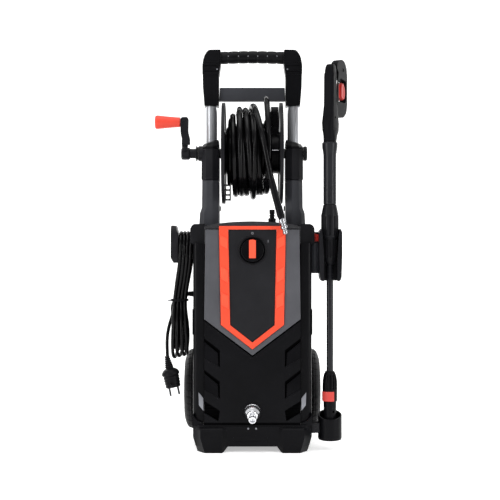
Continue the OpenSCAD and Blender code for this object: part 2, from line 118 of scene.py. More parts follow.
def plastic(name, col, rough=0.42, grain=1800.0, bump=0.05, tint=0.25, spec=0.5, coat=0.0, worn=0.0, dust=0.0):
    """Moulded plastic: spark-eroded grain, slow mottling of colour and gloss, faint scuffs."""
    m, nt, b = _mat(name)
    tc = nt.nodes.new("ShaderNodeTexCoord").outputs["Object"]
    slow = _noise(nt, 9.0, 5, 0.6, tc)
    mid = _noise(nt, 60.0, 4, 0.6, tc)
    fine = _noise(nt, grain, 2, 0.5, tc)
    lo = tuple(max(0.0, c * (1 - tint)) for c in col)
    hi = tuple(min(1.0, c * (1 + tint)) for c in col)
    c1 = _mix(nt, _mapr(nt, slow.outputs[0], 0.35, 0.65, 0, 1), lo, hi)
    c2 = _mix(nt, _mapr(nt, mid.outputs[0], 0.45, 0.75, 0, 0.35), c1, hi)
    # long faint scuffs, stretched along one axis
    mp = nt.nodes.new("ShaderNodeMapping")
    mp.inputs["Scale"].default_value = (14, 14, 160)
    mp.inputs["Rotation"].default_value = (0.3, 1.1, 0.4)
    nt.links.new(tc, mp.inputs[0])
    scuff = _noise(nt, 1.6, 6, 0.7, mp.outputs[0], 0.6)
    sc = _mapr(nt, scuff.outputs[0], 0.62, 0.72, 0, 1)
    grey = tuple(min(1.0, c + 0.010 + 0.25 * c) for c in col)
    mul = nt.nodes.new("ShaderNodeMath")
    mul.operation = "MULTIPLY"
    nt.links.new(sc, mul.inputs[0])
    mul.inputs[1].default_value = 0.16 + worn
    c3 = _mix(nt, mul.outputs[0], c2, grey)
    nt.links.new(c3, b.inputs["Base Color"])
    ra = nt.nodes.new("ShaderNodeMath")
    ra.operation = "ADD"
    nt.links.new(_mapr(nt, slow.outputs[0], 0.3, 0.7, rough - 0.05, rough + 0.05), ra.inputs[0])
    nt.links.new(_mapr(nt, scuff.outputs[0], 0.6, 0.74, 0.0, 0.10), ra.inputs[1])
    nt.links.new(ra.outputs[0], b.inputs["Roughness"])
    b.inputs["Specular IOR Level"].default_value = spec
    b.inputs["Coat Weight"].default_value = coat
    b.inputs["Coat Roughness"].default_value = 0.18
    vor = nt.nodes.new("ShaderNodeTexVoronoi")
    vor.inputs["Scale"].default_value = grain * 0.55
    nt.links.new(tc, vor.inputs["Vector"])
    ad = nt.nodes.new("ShaderNodeMath")
    ad.operation = "ADD"
    nt.links.new(fine.outputs[0], ad.inputs[0])
    nt.links.new(vor.outputs[0], ad.inputs[1])
    bp = nt.nodes.new("ShaderNodeBump")
    bp.inputs["Strength"].default_value = min(1.0, bump * 6)
    bp.inputs["Distance"].default_value = 0.00012
    nt.links.new(ad.outputs[0], bp.inputs["Height"])
    nt.links.new(bp.outputs[0], b.inputs["Normal"])
    return m


def metal(name, col, rough=0.25, streak=(4, 4, 900), aniso=0.0, bump=0.08, spots=0.0, metallic=1.0):
    m, nt, b = _mat(name)
    tc = nt.nodes.new("ShaderNodeTexCoord").outputs["Object"]
    mp = nt.nodes.new("ShaderNodeMapping")
    mp.inputs["Scale"].default_value = streak
    nt.links.new(tc, mp.inputs[0])
    st = _noise(nt, 1.0, 6, 0.6, mp.outputs[0])
    slow = _noise(nt, 22.0, 4, 0.6, tc)
    lo = tuple(c * 0.86 for c in col)
    hi = tuple(min(1, c * 1.05) for c in col)
    c1 = _mix(nt, _mapr(nt, st.outputs[0], 0.35, 0.65, 0, 1), lo, hi)
    c2 = _mix(nt, _mapr(nt, slow.outputs[0], 0.5, 0.8, 0, 0.3), c1, lo)
    nt.links.new(c2, b.inputs["Base Color"])
    b.inputs["Metallic"].default_value = metallic
    nt.links.new(_mapr(nt, st.outputs[0], 0.3, 0.7, max(0.02, rough - 0.06), rough + 0.07), b.inputs["Roughness"])
    b.inputs["Anisotropic"].default_value = aniso
    bp = nt.nodes.new("ShaderNodeBump")
    bp.inputs["Strength"].default_value = bump
    bp.inputs["Distance"].default_value = 0.0002
    nt.links.new(st.outputs[0], bp.inputs["Height"])
    nt.links.new(bp.outputs[0], b.inputs["Normal"])
    return m


def rubber(name, col, rough=0.5, grain=700.0, bump=0.25, sheen=0.0, coat=0.0, spec=0.12):
    m, nt, b = _mat(name)
    b.inputs["Specular IOR Level"].default_value = spec
    tc = nt.nodes.new("ShaderNodeTexCoord").outputs["Object"]
    slow = _noise(nt, 14.0, 5, 0.6, tc)
    fine = _noise(nt, grain, 4, 0.6, tc)
    lo = tuple(c * 0.7 for c in col)
    hi = tuple(min(1, c * 1.5 + 0.002) for c in col)
    nt.links.new(_mix(nt, _mapr(nt, slow.outputs[0], 0.35, 0.7, 0, 1), lo, hi), b.inputs["Base Color"])
    nt.links.new(_mapr(nt, slow.outputs[0], 0.3, 0.7, rough - 0.07, rough + 0.08), b.inputs["Roughness"])
    b.inputs["Coat Weight"].default_value = coat
    b.inputs["Coat Roughness"].default_value = 0.2
    b.inputs["Sheen Weight"].default_value = sheen
    bp = nt.nodes.new("ShaderNodeBump")
    bp.inputs["Strength"].default_value = bump
    bp.inputs["Distance"].default_value = 0.0002
    nt.links.new(fine.outputs[0], bp.inputs["Height"])
    nt.links.new(bp.outputs[0], b.inputs["Normal"])
    return m


BLACK = plastic("m_black", (0.0026, 0.0026, 0.0033), 0.33, 1500, 0.04, 0.25, 0.07)
DARK = plastic("m_dark", (0.0078, 0.0078, 0.0092), 0.35, 1300, 0.05, 0.25, 0.09)
GUNM = plastic("m_gun", (0.0036, 0.0036, 0.0046), 0.46, 1300, 0.05, 0.25, 0.04)
SLEEVE = plastic("m_sleeve", (0.0100, 0.0104, 0.0125), 0.28, 1300, 0.05, 0.25, 0.16)
PANEL = plastic("m_panel", (0.058, 0.059, 0.066), 0.40, 1600, 0.05, 0.15, 0.20)
CONTROL = plastic("m_control", (0.0095, 0.0095, 0.0112), 0.32, 2200, 0.03, 0.15, 0.14)
POST = plastic("m_post", (0.0280, 0.0290, 0.0340), 0.38, 1500, 0.05, 0.15, 0.18)
# near-black matte with almost no gloss: painted shade, put behind open slits and into panel seams where there is only
# shade
PAINTED_SHADE = plastic("m_painted_shade", (0.0010, 0.0010, 0.0012), 0.7, 900, 0.03, 0.25, 0.02)
ORANGE = plastic("m_orange", (0.74, 0.078, 0.036), 0.38, 1700, 0.04, 0.06, 0.22)
# a darker copy of the orange: painted shade, so the trim frame reads darker than its pads
ORANGE_PAINTED_SHADE = plastic("m_orange_painted_shade", (0.66, 0.060, 0.026), 0.40, 1700, 0.04, 0.06, 0.20)
RED = plastic("m_red", (0.55, 0.030, 0.020), 0.34, 1700, 0.04, 0.08, 0.22)
BRIGHTRED = plastic("m_bright_red", (0.36, 0.024, 0.020), 0.36, 1700, 0.04, 0.06, 0.22)
LIGHTGREY = plastic("m_light_grey", (0.20, 0.205, 0.225), 0.45, 1500, 0.05, 0.08, 0.3)
BUSH = plastic("m_bush", (0.62, 0.60, 0.52), 0.5, 1500, 0.03, 0.08)
ALU = metal("m_alu", (0.40, 0.41, 0.43), 0.30, (900, 900, 3), 0.0, 0.05, 0.0, 0.55)
STEEL = metal("m_steel", (0.50, 0.50, 0.52), 0.28, (3, 900, 900))
DKSTEEL = metal("m_dark_steel", (0.07, 0.07, 0.075), 0.34, (3, 900, 900))
PLATED = metal("m_plated", (0.34, 0.345, 0.36), 0.20, (60, 60, 60), 0.0, 0.12)
DECKM = plastic("m_deck", (0.012, 0.012, 0.014), 0.26, 1500, 0.03, 0.25, 0.60)
GRIPO = plastic("m_grip_orange", (0.60, 0.052, 0.030), 0.38, 1700, 0.04, 0.06, 0.22)
TABM = plastic("m_tab", (0.48, 0.048, 0.040), 0.38, 1700, 0.04, 0.06, 0.22)
CHROME = metal("m_chrome", (0.84, 0.85, 0.88), 0.14, (60, 60, 60), 0.0, 0.12)
CASTM = metal("m_cast", (0.42, 0.42, 0.44), 0.5, (260, 260, 260), 0.0, 0.5)
TYRE = rubber("m_tyre", (0.0060, 0.0060, 0.0066), 0.55, 900, 0.35, 0.0, 0.0, 0.12)
GRIPR = rubber("m_grip", (0.0030, 0.0030, 0.0037), 0.40, 1400, 0.3, 0.0, 0.0, 0.08)
CABLE = rubber("m_cable", (0.0012, 0.0012, 0.0015), 0.17, 900, 0.08, 0.0, 0.0, 0.12)
HOSE = rubber("m_hose", (0.0010, 0.0010, 0.0013), 0.17, 1000, 0.08, 0.0, 0.0, 0.12)

SLOT_MAT = {
    "plastic_black": BLACK, "plastic_dark": DARK, "panel_grey": PANEL, "control_grey": CONTROL,
    "orange_plastic": ORANGE, "light_grey_plastic": LIGHTGREY, "red_plastic": RED, "post_grey": POST,
    "aluminium_tube": ALU, "cast_alloy": CASTM, "motor_metal": CASTM, "steel": STEEL,
    "chrome_fitting": CHROME, "bush_plastic": BUSH, "grip_rubber": GRIPR, "tyre_rubber": TYRE,
    "cable_black": CABLE, "hose_black": HOSE,
}
NODE_SLOT = {s["node"]: s["material_slot"] for s in frame["record"]["subparts"]}
for _n, _o in frame["nodes"].items():
    for _s in _o.material_slots:
        _s.material = SLOT_MAT[NODE_SLOT[_n]]


# ------------------------------------------------------------------ mesh helpers
def link(name, me, mat, body, rep=()):
    o = bpy.data.objects.new(name, me)
    SC.collection.objects.link(o)
    me.materials.clear()
    me.materials.append(mat)
    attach(o, body)
    if rep:
        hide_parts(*rep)
    return o


def tmp(bm):
    me = bpy.data.meshes.new("t")
    bmesh.ops.recalc_face_normals(bm, faces=bm.faces)
    bm.to_mesh(me)
    bm.free()
    o = bpy.data.objects.new("t", me)
    SC.collection.objects.link(o)
    return o


def applied(o):
    bpy.context.view_layer.update()
    dg = bpy.context.evaluated_depsgraph_get()
    me = bpy.data.meshes.new_from_object(o.evaluated_get(dg))
    o.modifiers.clear()
    o.data = me
    return o


def drop(o):
    me = o.data
    bpy.data.objects.remove(o)
    if me.users == 0:
        bpy.data.meshes.remove(me)


def corner(A, P, B, r, n, out):
    a, b = A - P, B - P
    la, lb = a.length, b.length
    if la < 1e-9 or lb < 1e-9 or abs(a.angle(b) - math.pi) < 0.2 or r <= 0:
        out.append(P)
        return
    d = min(r, 0.45 * la, 0.45 * lb)
    p0, p1 = P + a * (d / la), P + b * (d / lb)
    for k in range(n + 1):
        t = k / n
        out.append(p0 * (1 - t) ** 2 + P * (2 * t * (1 - t)) + p1 * t * t)


def rpoly(poly, r, n=4):
    """A closed outline with rounded corners; a point may carry its own radius as a third number."""
    v = [Vector(p[:2]) for p in poly]
    out = []
    for i, p in enumerate(poly):
        corner(v[i - 1], v[i], v[(i + 1) % len(v)], p[2] if len(p) > 2 else r, n, out)
    return [(p.x, p.y) for p in out]


def rprof(prof, r, n=3):
    v = [Vector(p[:2]) for p in prof]
    out = [v[0]]
    for i in range(1, len(v) - 1):
        corner(v[i - 1], v[i], v[i + 1], prof[i][2] if len(prof[i]) > 2 else r, n, out)
    out.append(v[-1])
    return [(p.x, p.y) for p in out]


def prism(poly, lo, hi, plane="xz", r=0.0, n=4):
    if r:
        poly = rpoly(poly, r, n)
    order = {"xz": (0, 2, 1), "yz": (1, 2, 0), "xy": (0, 1, 2)}[plane]

    def P(a, b, c):
        v = [0, 0, 0]
        v[order[0]], v[order[1]], v[order[2]] = a, b, c
        return Vector(v) * MM

    bm = bmesh.new()
    A = [bm.verts.new(P(a, b, lo)) for a, b in poly]
    B = [bm.verts.new(P(a, b, hi)) for a, b in poly]
    bm.faces.new(A)
    bm.faces.new(B[::-1])
    m = len(poly)
    for i in range(m):
        bm.faces.new((A[i], B[i], B[(i + 1) % m], A[(i + 1) % m]))
    return bm


def slant(poly, y0, backs):
    """A cutter in front of an XZ outline: front at y0, each corner's own back depth."""
    bm = bmesh.new()
    A = [bm.verts.new(Vector((a, y0, b)) * MM) for a, b in poly]
    B = [bm.verts.new(Vector((a, y, b)) * MM) for (a, b), y in zip(poly, backs)]
    bm.faces.new(A)
    m = len(poly)
    for i in range(1, m - 1):
        bm.faces.new((B[0], B[i + 1], B[i]))
    for i in range(m):
        bm.faces.new((A[i], B[i], B[(i + 1) % m], A[(i + 1) % m]))
    return bm


def boxm(lo, hi):
    return prism([(lo[0], lo[2]), (hi[0], lo[2]), (hi[0], hi[2]), (lo[0], hi[2])], lo[1], hi[1])


def loft(rings, caps=True):
    bm = bmesh.new()
    R = [[bm.verts.new(Vector(p) * MM) for p in ring] for ring in rings]
    m = len(rings[0])
    for a, b in zip(R, R[1:]):
        for i in range(m):
            bm.faces.new((a[i], a[(i + 1) % m], b[(i + 1) % m], b[i]))
    if caps:
        bm.faces.new(R[0][::-1])
        bm.faces.new(R[-1])
    return bm


def basis(axis):
    a = Vector(axis).normalized()
    u = a.cross(Vector((0, 0, 1)) if abs(a.z) < 0.9 else Vector((1, 0, 0))).normalized()
    return a, u, a.cross(u)


def lathe_bm(prof, origin, axis, seg=48, r=0.8, n=3, rib=None):
    a, u, w = basis(axis)
    O = Vector(origin)
    pts = rprof(prof, r, n) if r else [p[:2] for p in prof]
    bm = bmesh.new()
    rings = []
    for rad, t in pts:
        if rad < 1e-6:
            rings.append([bm.verts.new((O + a * t) * MM)])
            continue
        ring = []
        for k in range(seg):
            th = 2 * math.pi * k / seg
            q = rib(th, t, rad) if rib else rad
            ring.append(bm.verts.new((O + a * t + (u * math.cos(th) + w * math.sin(th)) * q) * MM))
        rings.append(ring)
    for p, q in zip(rings, rings[1:]):
        for k in range(seg):
            k2 = (k + 1) % seg
            if len(p) == 1 and len(q) == 1:
                continue
            if len(p) == 1:
                bm.faces.new((p[0], q[k2], q[k]))
            elif len(q) == 1:
                bm.faces.new((p[k], p[k2], q[0]))
            else:
                bm.faces.new((p[k], p[k2], q[k2], q[k]))
    if len(rings[0]) > 1 and len(rings[-1]) > 1:
        if (Vector(pts[0]) - Vector(pts[-1])).length < 1e-6:
            bmesh.ops.remove_doubles(bm, verts=bm.verts, dist=1e-7)
        else:
            bm.faces.new(rings[0][::-1])
            bm.faces.new(rings[-1])
    elif len(rings[0]) > 1:
        bm.faces.new(rings[0][::-1])
    elif len(rings[-1]) > 1:
        bm.faces.new(rings[-1])
    return bm


def wnormal(o, sharp=40):
    o.data.shade_smooth()
    o.data.set_sharp_from_angle(angle=math.radians(sharp))
    m = o.modifiers.new("w", "WEIGHTED_NORMAL")
    m.keep_sharp = True
    m.weight = 60
    return applied(o)


def done(o, name, mat, body, rep=()):
    """Turns a working mesh into a named piece."""
    me = o.data
    bpy.data.objects.remove(o)
    me.name = name
    return link(name, me, mat, body, rep)


def lathe(name, prof, origin, axis, mat, body, seg=48, r=0.8, n=3, rib=None, rep=(), sharp=40):
    return done(wnormal(tmp(lathe_bm(prof, origin, axis, seg, r, n, rib)), sharp), name, mat, body, rep)


def boolean(o, other, op):
    m = o.modifiers.new("b", "BOOLEAN")
    m.operation = op
    m.solver = "EXACT"
    m.object = other
    applied(o)
    drop(other)
    return o


def csg(adds, cuts=()):
    o = tmp(adds[0])
    for b in adds[1:]:
        boolean(o, tmp(b), "UNION")
    for b in cuts:
        boolean(o, tmp(b), "DIFFERENCE")
    return o


def clean(o, ang=0.6):
    bm = bmesh.new()
    bm.from_mesh(o.data)
    bmesh.ops.remove_doubles(bm, verts=bm.verts, dist=2e-5)
    bmesh.ops.dissolve_degenerate(bm, dist=2e-5, edges=bm.edges)
    bmesh.ops.dissolve_limit(bm, angle_limit=math.radians(ang), verts=bm.verts, edges=bm.edges)
    bm.to_mesh(o.data)
    bm.free()
    return o


def soften(o, width=0.9, segs=3, angle=30):
    clean(o)
    m = o.modifiers.new("bev", "BEVEL")
    m.width = width * MM
    m.segments = segs
    m.limit_method = "ANGLE"
    m.angle_limit = math.radians(angle)
    m.use_clamp_overlap = True
    m.harden_normals = True
    m.miter_outer = "MITER_ARC"
    o.data.shade_smooth()
    return applied(o)


def piece(name, adds, cuts, mat, body, bevel=0.9, segs=3, angle=30, rep=()):
    return done(soften(csg(adds, cuts), bevel, segs, angle), name, mat, body, rep)


def refine(node, mat, body, bevel=0.8, segs=2, angle=30, name=None):
    """A CAD node's own shape with its moulded edges broken."""
    src = frame["nodes"][node]
    o = bpy.data.objects.new("t", src.data.copy())
    SC.collection.objects.link(o)
    o.matrix_world = Matrix.Identity(4)
    bm = bmesh.new()
    bm.from_mesh(o.data)
    bmesh.ops.remove_doubles(bm, verts=bm.verts, dist=3e-5)
    bm.to_mesh(o.data)
    bm.free()
    o.data.materials.clear()
    if o.data.has_custom_normals:
        o.data.free_custom_normals() if hasattr(o.data, "free_custom_normals") else None
    return done(soften(o, bevel, segs, angle), name or node + "_skin", mat, body, (node,))


def mirx(bm):
    """The mirror image of a shape across the middle plane, as a second working mesh."""
    c = bm.copy()
    for v in c.verts:
        v.co.x = -v.co.x
    bmesh.ops.reverse_faces(c, faces=c.faces)
    return c


def join(*objs):
    bm = bmesh.new()
    for o in objs:
        bm.from_mesh(o.data)
    me = bpy.data.meshes.new("j")
    bm.to_mesh(me)
    bm.free()
    for o in objs:
        drop(o)
    j = bpy.data.objects.new("t", me)
    SC.collection.objects.link(j)
    return j


def smooth_path(pts, step=6.0):
    """Catmull-Rom through the points, resampled at an even step."""
    P = [Vector(p) for p in pts]
    P = [P[0] * 2 - P[1]] + P + [P[-1] * 2 - P[-2]]
    dense = []
    for i in range(1, len(P) - 2):
        p0, p1, p2, p3 = P[i - 1 : i + 3]
        for k in range(12):
            t = k / 12
            dense.append(0.5 * ((2 * p1) + (p2 - p0) * t + (2 * p0 - 5 * p1 + 4 * p2 - p3) * t * t
                                + (3 * p1 - p0 - 3 * p2 + p3) * t ** 3))
    dense.append(P[-2])
    out, acc = [dense[0]], 0.0
    for a, b in zip(dense, dense[1:]):
        d = (b - a).length
        while acc + d >= step:
            f = (step - acc) / d
            a = a + (b - a) * f
            out.append(a.copy())
            d = (b - a).length
            acc = 0.0
        acc += d
    if (out[-1] - dense[-1]).length > 0.3 * step:
        out.append(dense[-1])
    else:
        out[-1] = dense[-1]
    return out


def length_of(pts):
    return sum((b - a).length for a, b in zip(pts, pts[1:]))


def cord_curve(name, pts, d, mat, body, rep=(), res=5):
    cu = bpy.data.curves.new(name, "CURVE")
    cu.dimensions = "3D"
    cu.bevel_depth = d / 2 * MM
    cu.bevel_resolution = res
    cu.use_fill_caps = True
    sp = cu.splines.new("POLY")
    sp.points.add(len(pts) - 1)
    for q, p in zip(sp.points, pts):
        q.co = (p.x * MM, p.y * MM, p.z * MM, 1)
    sp.use_smooth = True
    cu.materials.append(mat)
    o = bpy.data.objects.new(name, cu)
    SC.collection.objects.link(o)
    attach(o, body)
    if rep:
        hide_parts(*rep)
    return o


# ------------------------------------------------------------------ cords
HD, CD = 13.0, 7.5
RY, RZ = -10.0, 657.3


def on_reel(turn, x, r):
    a = 2 * math.pi * turn
    return Vector((x, RY - r * math.sin(a), RZ + r * math.cos(a)))


def hose_winding():
    pts = [Vector(p) for p in ((36, 15, 702), (36, 22, 716), (36, 24, 731), (35, 18, 749), (34, 6, 765),
                               (32, -9, 775), (31, -26, 778), (31, -45, 774), (32, -64, 763), (33, -81, 746),
                               (34, -94, 722), (35, -101, 698), (36, -103, 672), (36, -101, 646),
                               (35, -94, 622), (34, -81, 600), (33, -62, 583), (32, -40, 573),
                               (31, -15, 571), (30, 12, 578), (29, 36, 595), (28, 52, 618))]
    keys = [(0.80, 28.0, 70.0), (1.0, 26.0, 62.0), (1.25, 23.5, 54.0)]
    t = 1.5
    # first layer, to the left
    x = 21.9
    while x > -50:
        keys.append((t, x, 51.6))
        t += 0.5
        x -= 6.6
    keys.append((t, -51.4, 54.0))
    t += 0.5
    # second layer, to the right
    x = -49.5
    while x < 15:
        keys.append((t, x, 64.4 + (0.8 if x < -40 else 0)))
        t += 0.5
        x += 6.7
    keys.append((t, 16.5, 67.5))
    t += 0.5
    # third layer, to the left
    x = 14.5
    while x > -36:
        keys.append((t, x, 77.2))
        t += 0.5
        x -= 6.9
    # loose outer turns, slanting and crossing: (x, r) at each half turn, top first when t is whole
    t = math.ceil(t)
    loose = [(-47, 74), (-50, 66), (-44, 84), (-37, 92), (-29, 99), (-24, 91), (-31, 90.5), (-13, 90),
             (-16, 97), (1, 89.5), (-3, 90), (13, 88.5), (2, 90), (20, 88.5), (8, 90)]
    for x, r in loose:
        keys.append((t, x, r))
        t += 0.5
    out = list(pts)
    for k in range(len(keys) - 1):
        (t0, x0, r0), (t1, x1, r1) = keys[k], keys[k + 1]
        n = max(2, int((t1 - t0) * 24))
        for i in range(n):
            f = i / n
            s = f * f * (3 - 2 * f)
            out.append(on_reel(t0 + (t1 - t0) * f, x0 + (x1 - x0) * (0.5 * f + 0.5 * s), r0 + (r1 - r0) * s))
    # the last turn ends where the free end takes over
    for p in ((4, 34, 741), (0, 27, 751)):
        pass
    tl, xl, rl = keys[-1]
    end = Vector((-3, 18, 758))
    off = end - Vector((0, RY, RZ))
    a_end = math.atan2(-off.y, off.z) % (2 * math.pi) / (2 * math.pi)
    t_end = math.floor(tl) + a_end
    if t_end < tl + 0.3:
        t_end += 1
    r_end = math.hypot(off.y, off.z)
    n = max(4, int((t_end - tl) * 24))
    for i in range(n + 1):
        f = i / n
        s = f * f * (3 - 2 * f)
        out.append(on_reel(tl + (t_end - tl) * f, xl + (-3 - xl) * s, rl + (r_end - rl) * s))
    return smooth_path(out, 6.0)


wind = hose_winding()
hose_reel = cord_curve("hose_winding", wind, HD, HOSE, "reel", ("hose_coil",), 6)

lead = smooth_path([(-3, 18, 758), (0, -10, 763), (4, -42, 758), (9, -73, 741), (15, -97, 716), (21, -111, 689),
                    (27, -117, 660), (33, -119, 630), (39, -120, 600), (45, -121, 574), (51, -123, 550),
                    (57, -125, 528)], 6.0)
hose_end = cord_curve("hose_free_end", lead, HD, HOSE, "chassis", ("hose_lead",), 6)

# mains cable: gland, folded hank over the hook, tail
HY, HZ = -45.0, 443.0


def hank_loop(col, layer, shift, rnd):
    """One turn of the hank, from its bottom up the front, over the hook and down the back."""
    top = 30.0 + 7.6 * layer
    bot = 27.2 + 7.2 * layer
    w = 3.9 + 7.7 * layer
    xt = -146 + 7.55 * (col - 1.5)
    xw = -161 + 7.6 * (col - 1.5)
    xb = -160 + (10.5 if layer else 8.6) * (col - 1.5) + rnd.uniform(-1.2, 1.2)
    jy = rnd.uniform(-1.0, 1.0)
    jm, jl = rnd.uniform(-2.2, 2.2), rnd.uniform(-2.4, 2.4)
    zb = 240 + shift
    pts = []
    for a in (0, 30, 60):
        pts.append((xb, HY + bot * -math.sin(math.radians(a)), zb - bot * math.cos(math.radians(a))))
    rise = [(xb, bot + 1, zb + 6), (xb + (xw - xb) * 0.2 + jl * 0.6, bot, zb + 30), (xb + (xw - xb) * 0.7, 0.55 * (bot + w), 290),
            (xw, w, 318), (xw + 1.5, w, 341), (xt + (xw - xt) * 0.52 + jm, 0.5 * (w + top), 378), (xt + (xw - xt) * 0.14, top - 2, 412)]
    for x, y, z in rise:
        pts.append((x, HY - y + (jy if y > 20 else 0), z))
    for a in (-90, -60, -30, 0, 30, 60, 90):
        pts.append((xt, HY + top * math.sin(math.radians(a)), HZ + top * math.cos(math.radians(a))))
    for x, y, z in rise[::-1]:
        pts.append((x, HY + y + (jy if y > 20 else 0), z))
    for a in (60, 30):
        pts.append((xb, HY + bot * math.sin(math.radians(a)), zb - bot * math.cos(math.radians(a))))
    return pts


rnd = random.Random(3)
route = [(-149, 16, 340), (-155, 16, 340), (-163, 15, 338), (-172, 12, 333), (-179, 7, 324), (-182, 0, 313),
         (-181, -8, 299), (-178, -14, 285), (-175.5, -18, 271), (-174, -20.5, 258), (-173, -22.5, 246),
         (-172.5, -25, 236), (-172.5, -33, 226)]
order = [(0, 0), (1, 0), (2, 0), (3, 0), (3, 1), (2, 1), (1, 1), (0, 1)]
for i, (c, l) in enumerate(order):
    loop = hank_loop(c, l, (7 - 2.6 * i if l else 2 - 1.2 * i) + 6, rnd)
    if i == len(order) - 1:
        # the last turn comes down the back and leaves the hank towards the plug
        top = max(k for k, q in enumerate(loop) if q[2] > 317)
        loop = loop[: top + 1] + [(-177, HY + 14, 300), (-183, HY + 8, 280), (-187, HY - 2, 262), (-188.5, HY - 12, 244),
                                  (-188, HY - 18, 226), (-187, -65, 212), (-187, -66, 202)]
    route += loop
for _ in range(3):
    # each turn moves over to its neighbour's place gradually, round the bottom of the hank
    xs = [q[0] for q in route]
    route = [route[i] if i < 12 or i > len(route) - 9 or route[i][2] > 275 else
             (0.25 * xs[i - 1] + 0.5 * xs[i] + 0.25 * xs[i + 1], route[i][1], route[i][2]) for i in range(len(route))]
main = smooth_path(route, 4.0)
for _ in range(16):
    # a springy cable rounds off its own kinks
    main = main[:2] + [main[k - 1] * 0.25 + main[k] * 0.5 + main[k + 1] * 0.25 for k in range(2, len(main) - 2)] + main[-2:]
main = smooth_path([tuple(v) for v in main], 4.0)
mains = cord_curve("mains_cable", main, CD, CABLE, "chassis", ("mains_lead", "mains_hank", "mains_tail"), 4)
print("LENGTHS hose", round(length_of(wind)), "lead", round(length_of(lead)), "mains", round(length_of(main)))


# ------------------------------------------------------------------ body
FY = -112.0
K0, KK = 439.9, 0.987
GX, GY = 170.0, -74.0
CG, SG = 0.5, math.sin(math.radians(60))


def both(*bms):
    out = []
    for b in bms:
        out += [b, mirx(b)]
    return out


def shield(hw, top, k, z0):
    return [(-hw, top), (-hw + k, z0 + 0.78 * (hw - k)), (0, z0), (hw - k, z0 + 0.78 * (hw - k)), (hw, top)]


def recess(outer, inner, depths):
    bm = loft([[(x, FY - 2, z) for x, z in outer], [(x, FY, z) for x, z in outer],
               [(x, FY + d, z) for (x, z), d in zip(inner, depths)]])
    bmesh.ops.triangulate(bm, faces=bm.faces)
    return bm


def screw(name, pos, axis, r, mat, body):
    return lathe(name, [(0, 0), (r, 0), (r, 0.5), (r * 0.8, 1.1), (r * 0.42, 1.1), (r * 0.36, 0.5), (0, 0.5)],
                 pos, axis, mat, body, 20, 0.15, 2)


def foot(z, xo, xi, yf):
    return [(xo, -58, z), (xo, -94, z), (xo + 17, yf, z), (-65, yf, z), (xi, -111.4, z), (xi, -58, z)]


foot_l = loft([foot(*a) for a in ((0, -118, -64, -118.4), (2.5, -119.2, -63, -120), (16, -123.4, -53, -120),
                                  (36, -129, -55, -120), (53, -129, -57, -120), (56, -128, -57.5, -117.6))])
skirt = loft([[(-h, -58, z), (-h, -98, z), (-h + 14, FY, z), (h - 14, FY, z), (h, -98, z), (h, -58, z)]
              for z, h in ((16, 123.4), (36, 129), (61.6, 129))])
collar = prism([(-129.4, 60), (-129.4, 87), (-126, 79), (-118, 70.5), (-107, 66.5), (-104, 60)], -107.5, -95)
ear = prism([(36, 14), (84, 14), (84, 134), (74, 145), (46, 145), (36, 134)], 100, 112, "yz", 4)
rear_foot = loft([[(x, y, z) for x, y in ((70, 58), (106, 58), (106, 90), (70, 90))] if z > 3 else [(x, y, z) for x, y in ((73, 60), (104, 60), (104, 88), (73, 88))] for z in (0, 4, 16)])
piece("base_body", [skirt, boxm((-112, -60, 10), (112, 97, 62))] + both(foot_l, collar, ear, rear_foot),
      [boxm((-41, -113, 27), (32, -111.2, 40)), boxm((-103, -113, 59.2), (103, -110.8, 60.0))],
      BLACK, "chassis", 1.3, 3, 25, ("base_tray",))
for i, x in enumerate((-9, 8)):
    screw("base_screw_%d" % i, (x, -112, 54.6), (0, -1, 0), 2.1, LIGHTGREY, "chassis")

# lower panel: drafted louvre recesses with an open slit along their upper edge, and two open air slots
low_cuts = []
for s in (0, 1):
    part = []
    for z in (248, 180):
        part.append(recess([(-107, z + 4.5), (-70, z - 24), (-70, z - 61), (-107, z - 39)],
                           [(-107, z - 2.5), (-74, z - 28.5), (-71.6, z - 60.2), (-107, z - 38.4)], (5.5, 5.5, 2.4, 0.9)))
        part.append(prism([(-107, z + 4.2), (-70.3, z - 24.3), (-70.4, z - 60.4), (-73.4, z - 58.4), (-74.4, z - 31.2),
                           (-107, z - 4.4)], FY - 1, FY + 13))
    part.append(prism([(-107, 116.5), (-70, 93), (-73.4, 70.5), (-107, 90)], FY - 1, FY + 13))
    low_cuts += part if s == 0 else [mirx(b) for b in part]
low_cuts.append(lathe_bm([(0, -12), (20.2, -12), (20.2, 25), (0, 25)], (0, FY, 92), (0, 1, 0), 56, 0))
piece("panel_lower", [prism([(-104, 67.6), (104, 67.6), (104, 287), (0, 208.8), (-104, 287)], FY, FY + 11)], low_cuts,
      BLACK, "chassis", 0.9, 3, 25, ("front_panel_lower",))
lathe("inlet_cup", [(17.4, 0), (18.0, -0.7), (19.4, -0.7), (20.1, 0.2), (20.3, 21), (0, 21), (0, 18.5), (16, 18.5), (17.4, 0)],
      (0, FY, 92), (0, 1, 0), BLACK, "chassis", 64, 0.3, 2)
# vent insert: a real backing plate and ribs behind the slots, coloured in the near-black matte that paints the shade
# inside them
ribs = [boxm((-104, FY + 11.4, 68), (-64, FY + 14, 256))]
ribs += [boxm((-103, FY + 8, z), (-70, FY + 11.6, z + 1.8)) for z in (73, 80, 87, 94, 101, 108)]
piece("vent_grid", both(*ribs), [], PAINTED_SHADE, "chassis", 0.4, 1, 30, ("vent_inserts",))
# dark strips set at the back of the panel seams: painted shade in the gaps
piece("seam_painted_shade", [prism([(-104, 294), (-104, 282), (0, 204), (104, 282), (104, 294), (0, 216)], FY + 9.2, FY + 11.2),
                     prism([(-104, 60), (104, 60), (104, 69), (-104, 69)], FY + 2.2, FY + 10)], [], PAINTED_SHADE, "chassis", 0.3, 1)
piece("vent_lights", both(prism([(-116.6, 131.5), (-106.2, 118.5), (-106.2, 91.5), (-115.8, 103.5)], -101.4, -99.6)), [],
      LIGHTGREY, "chassis", 0.5, 2, 30, ("vent_plates",))

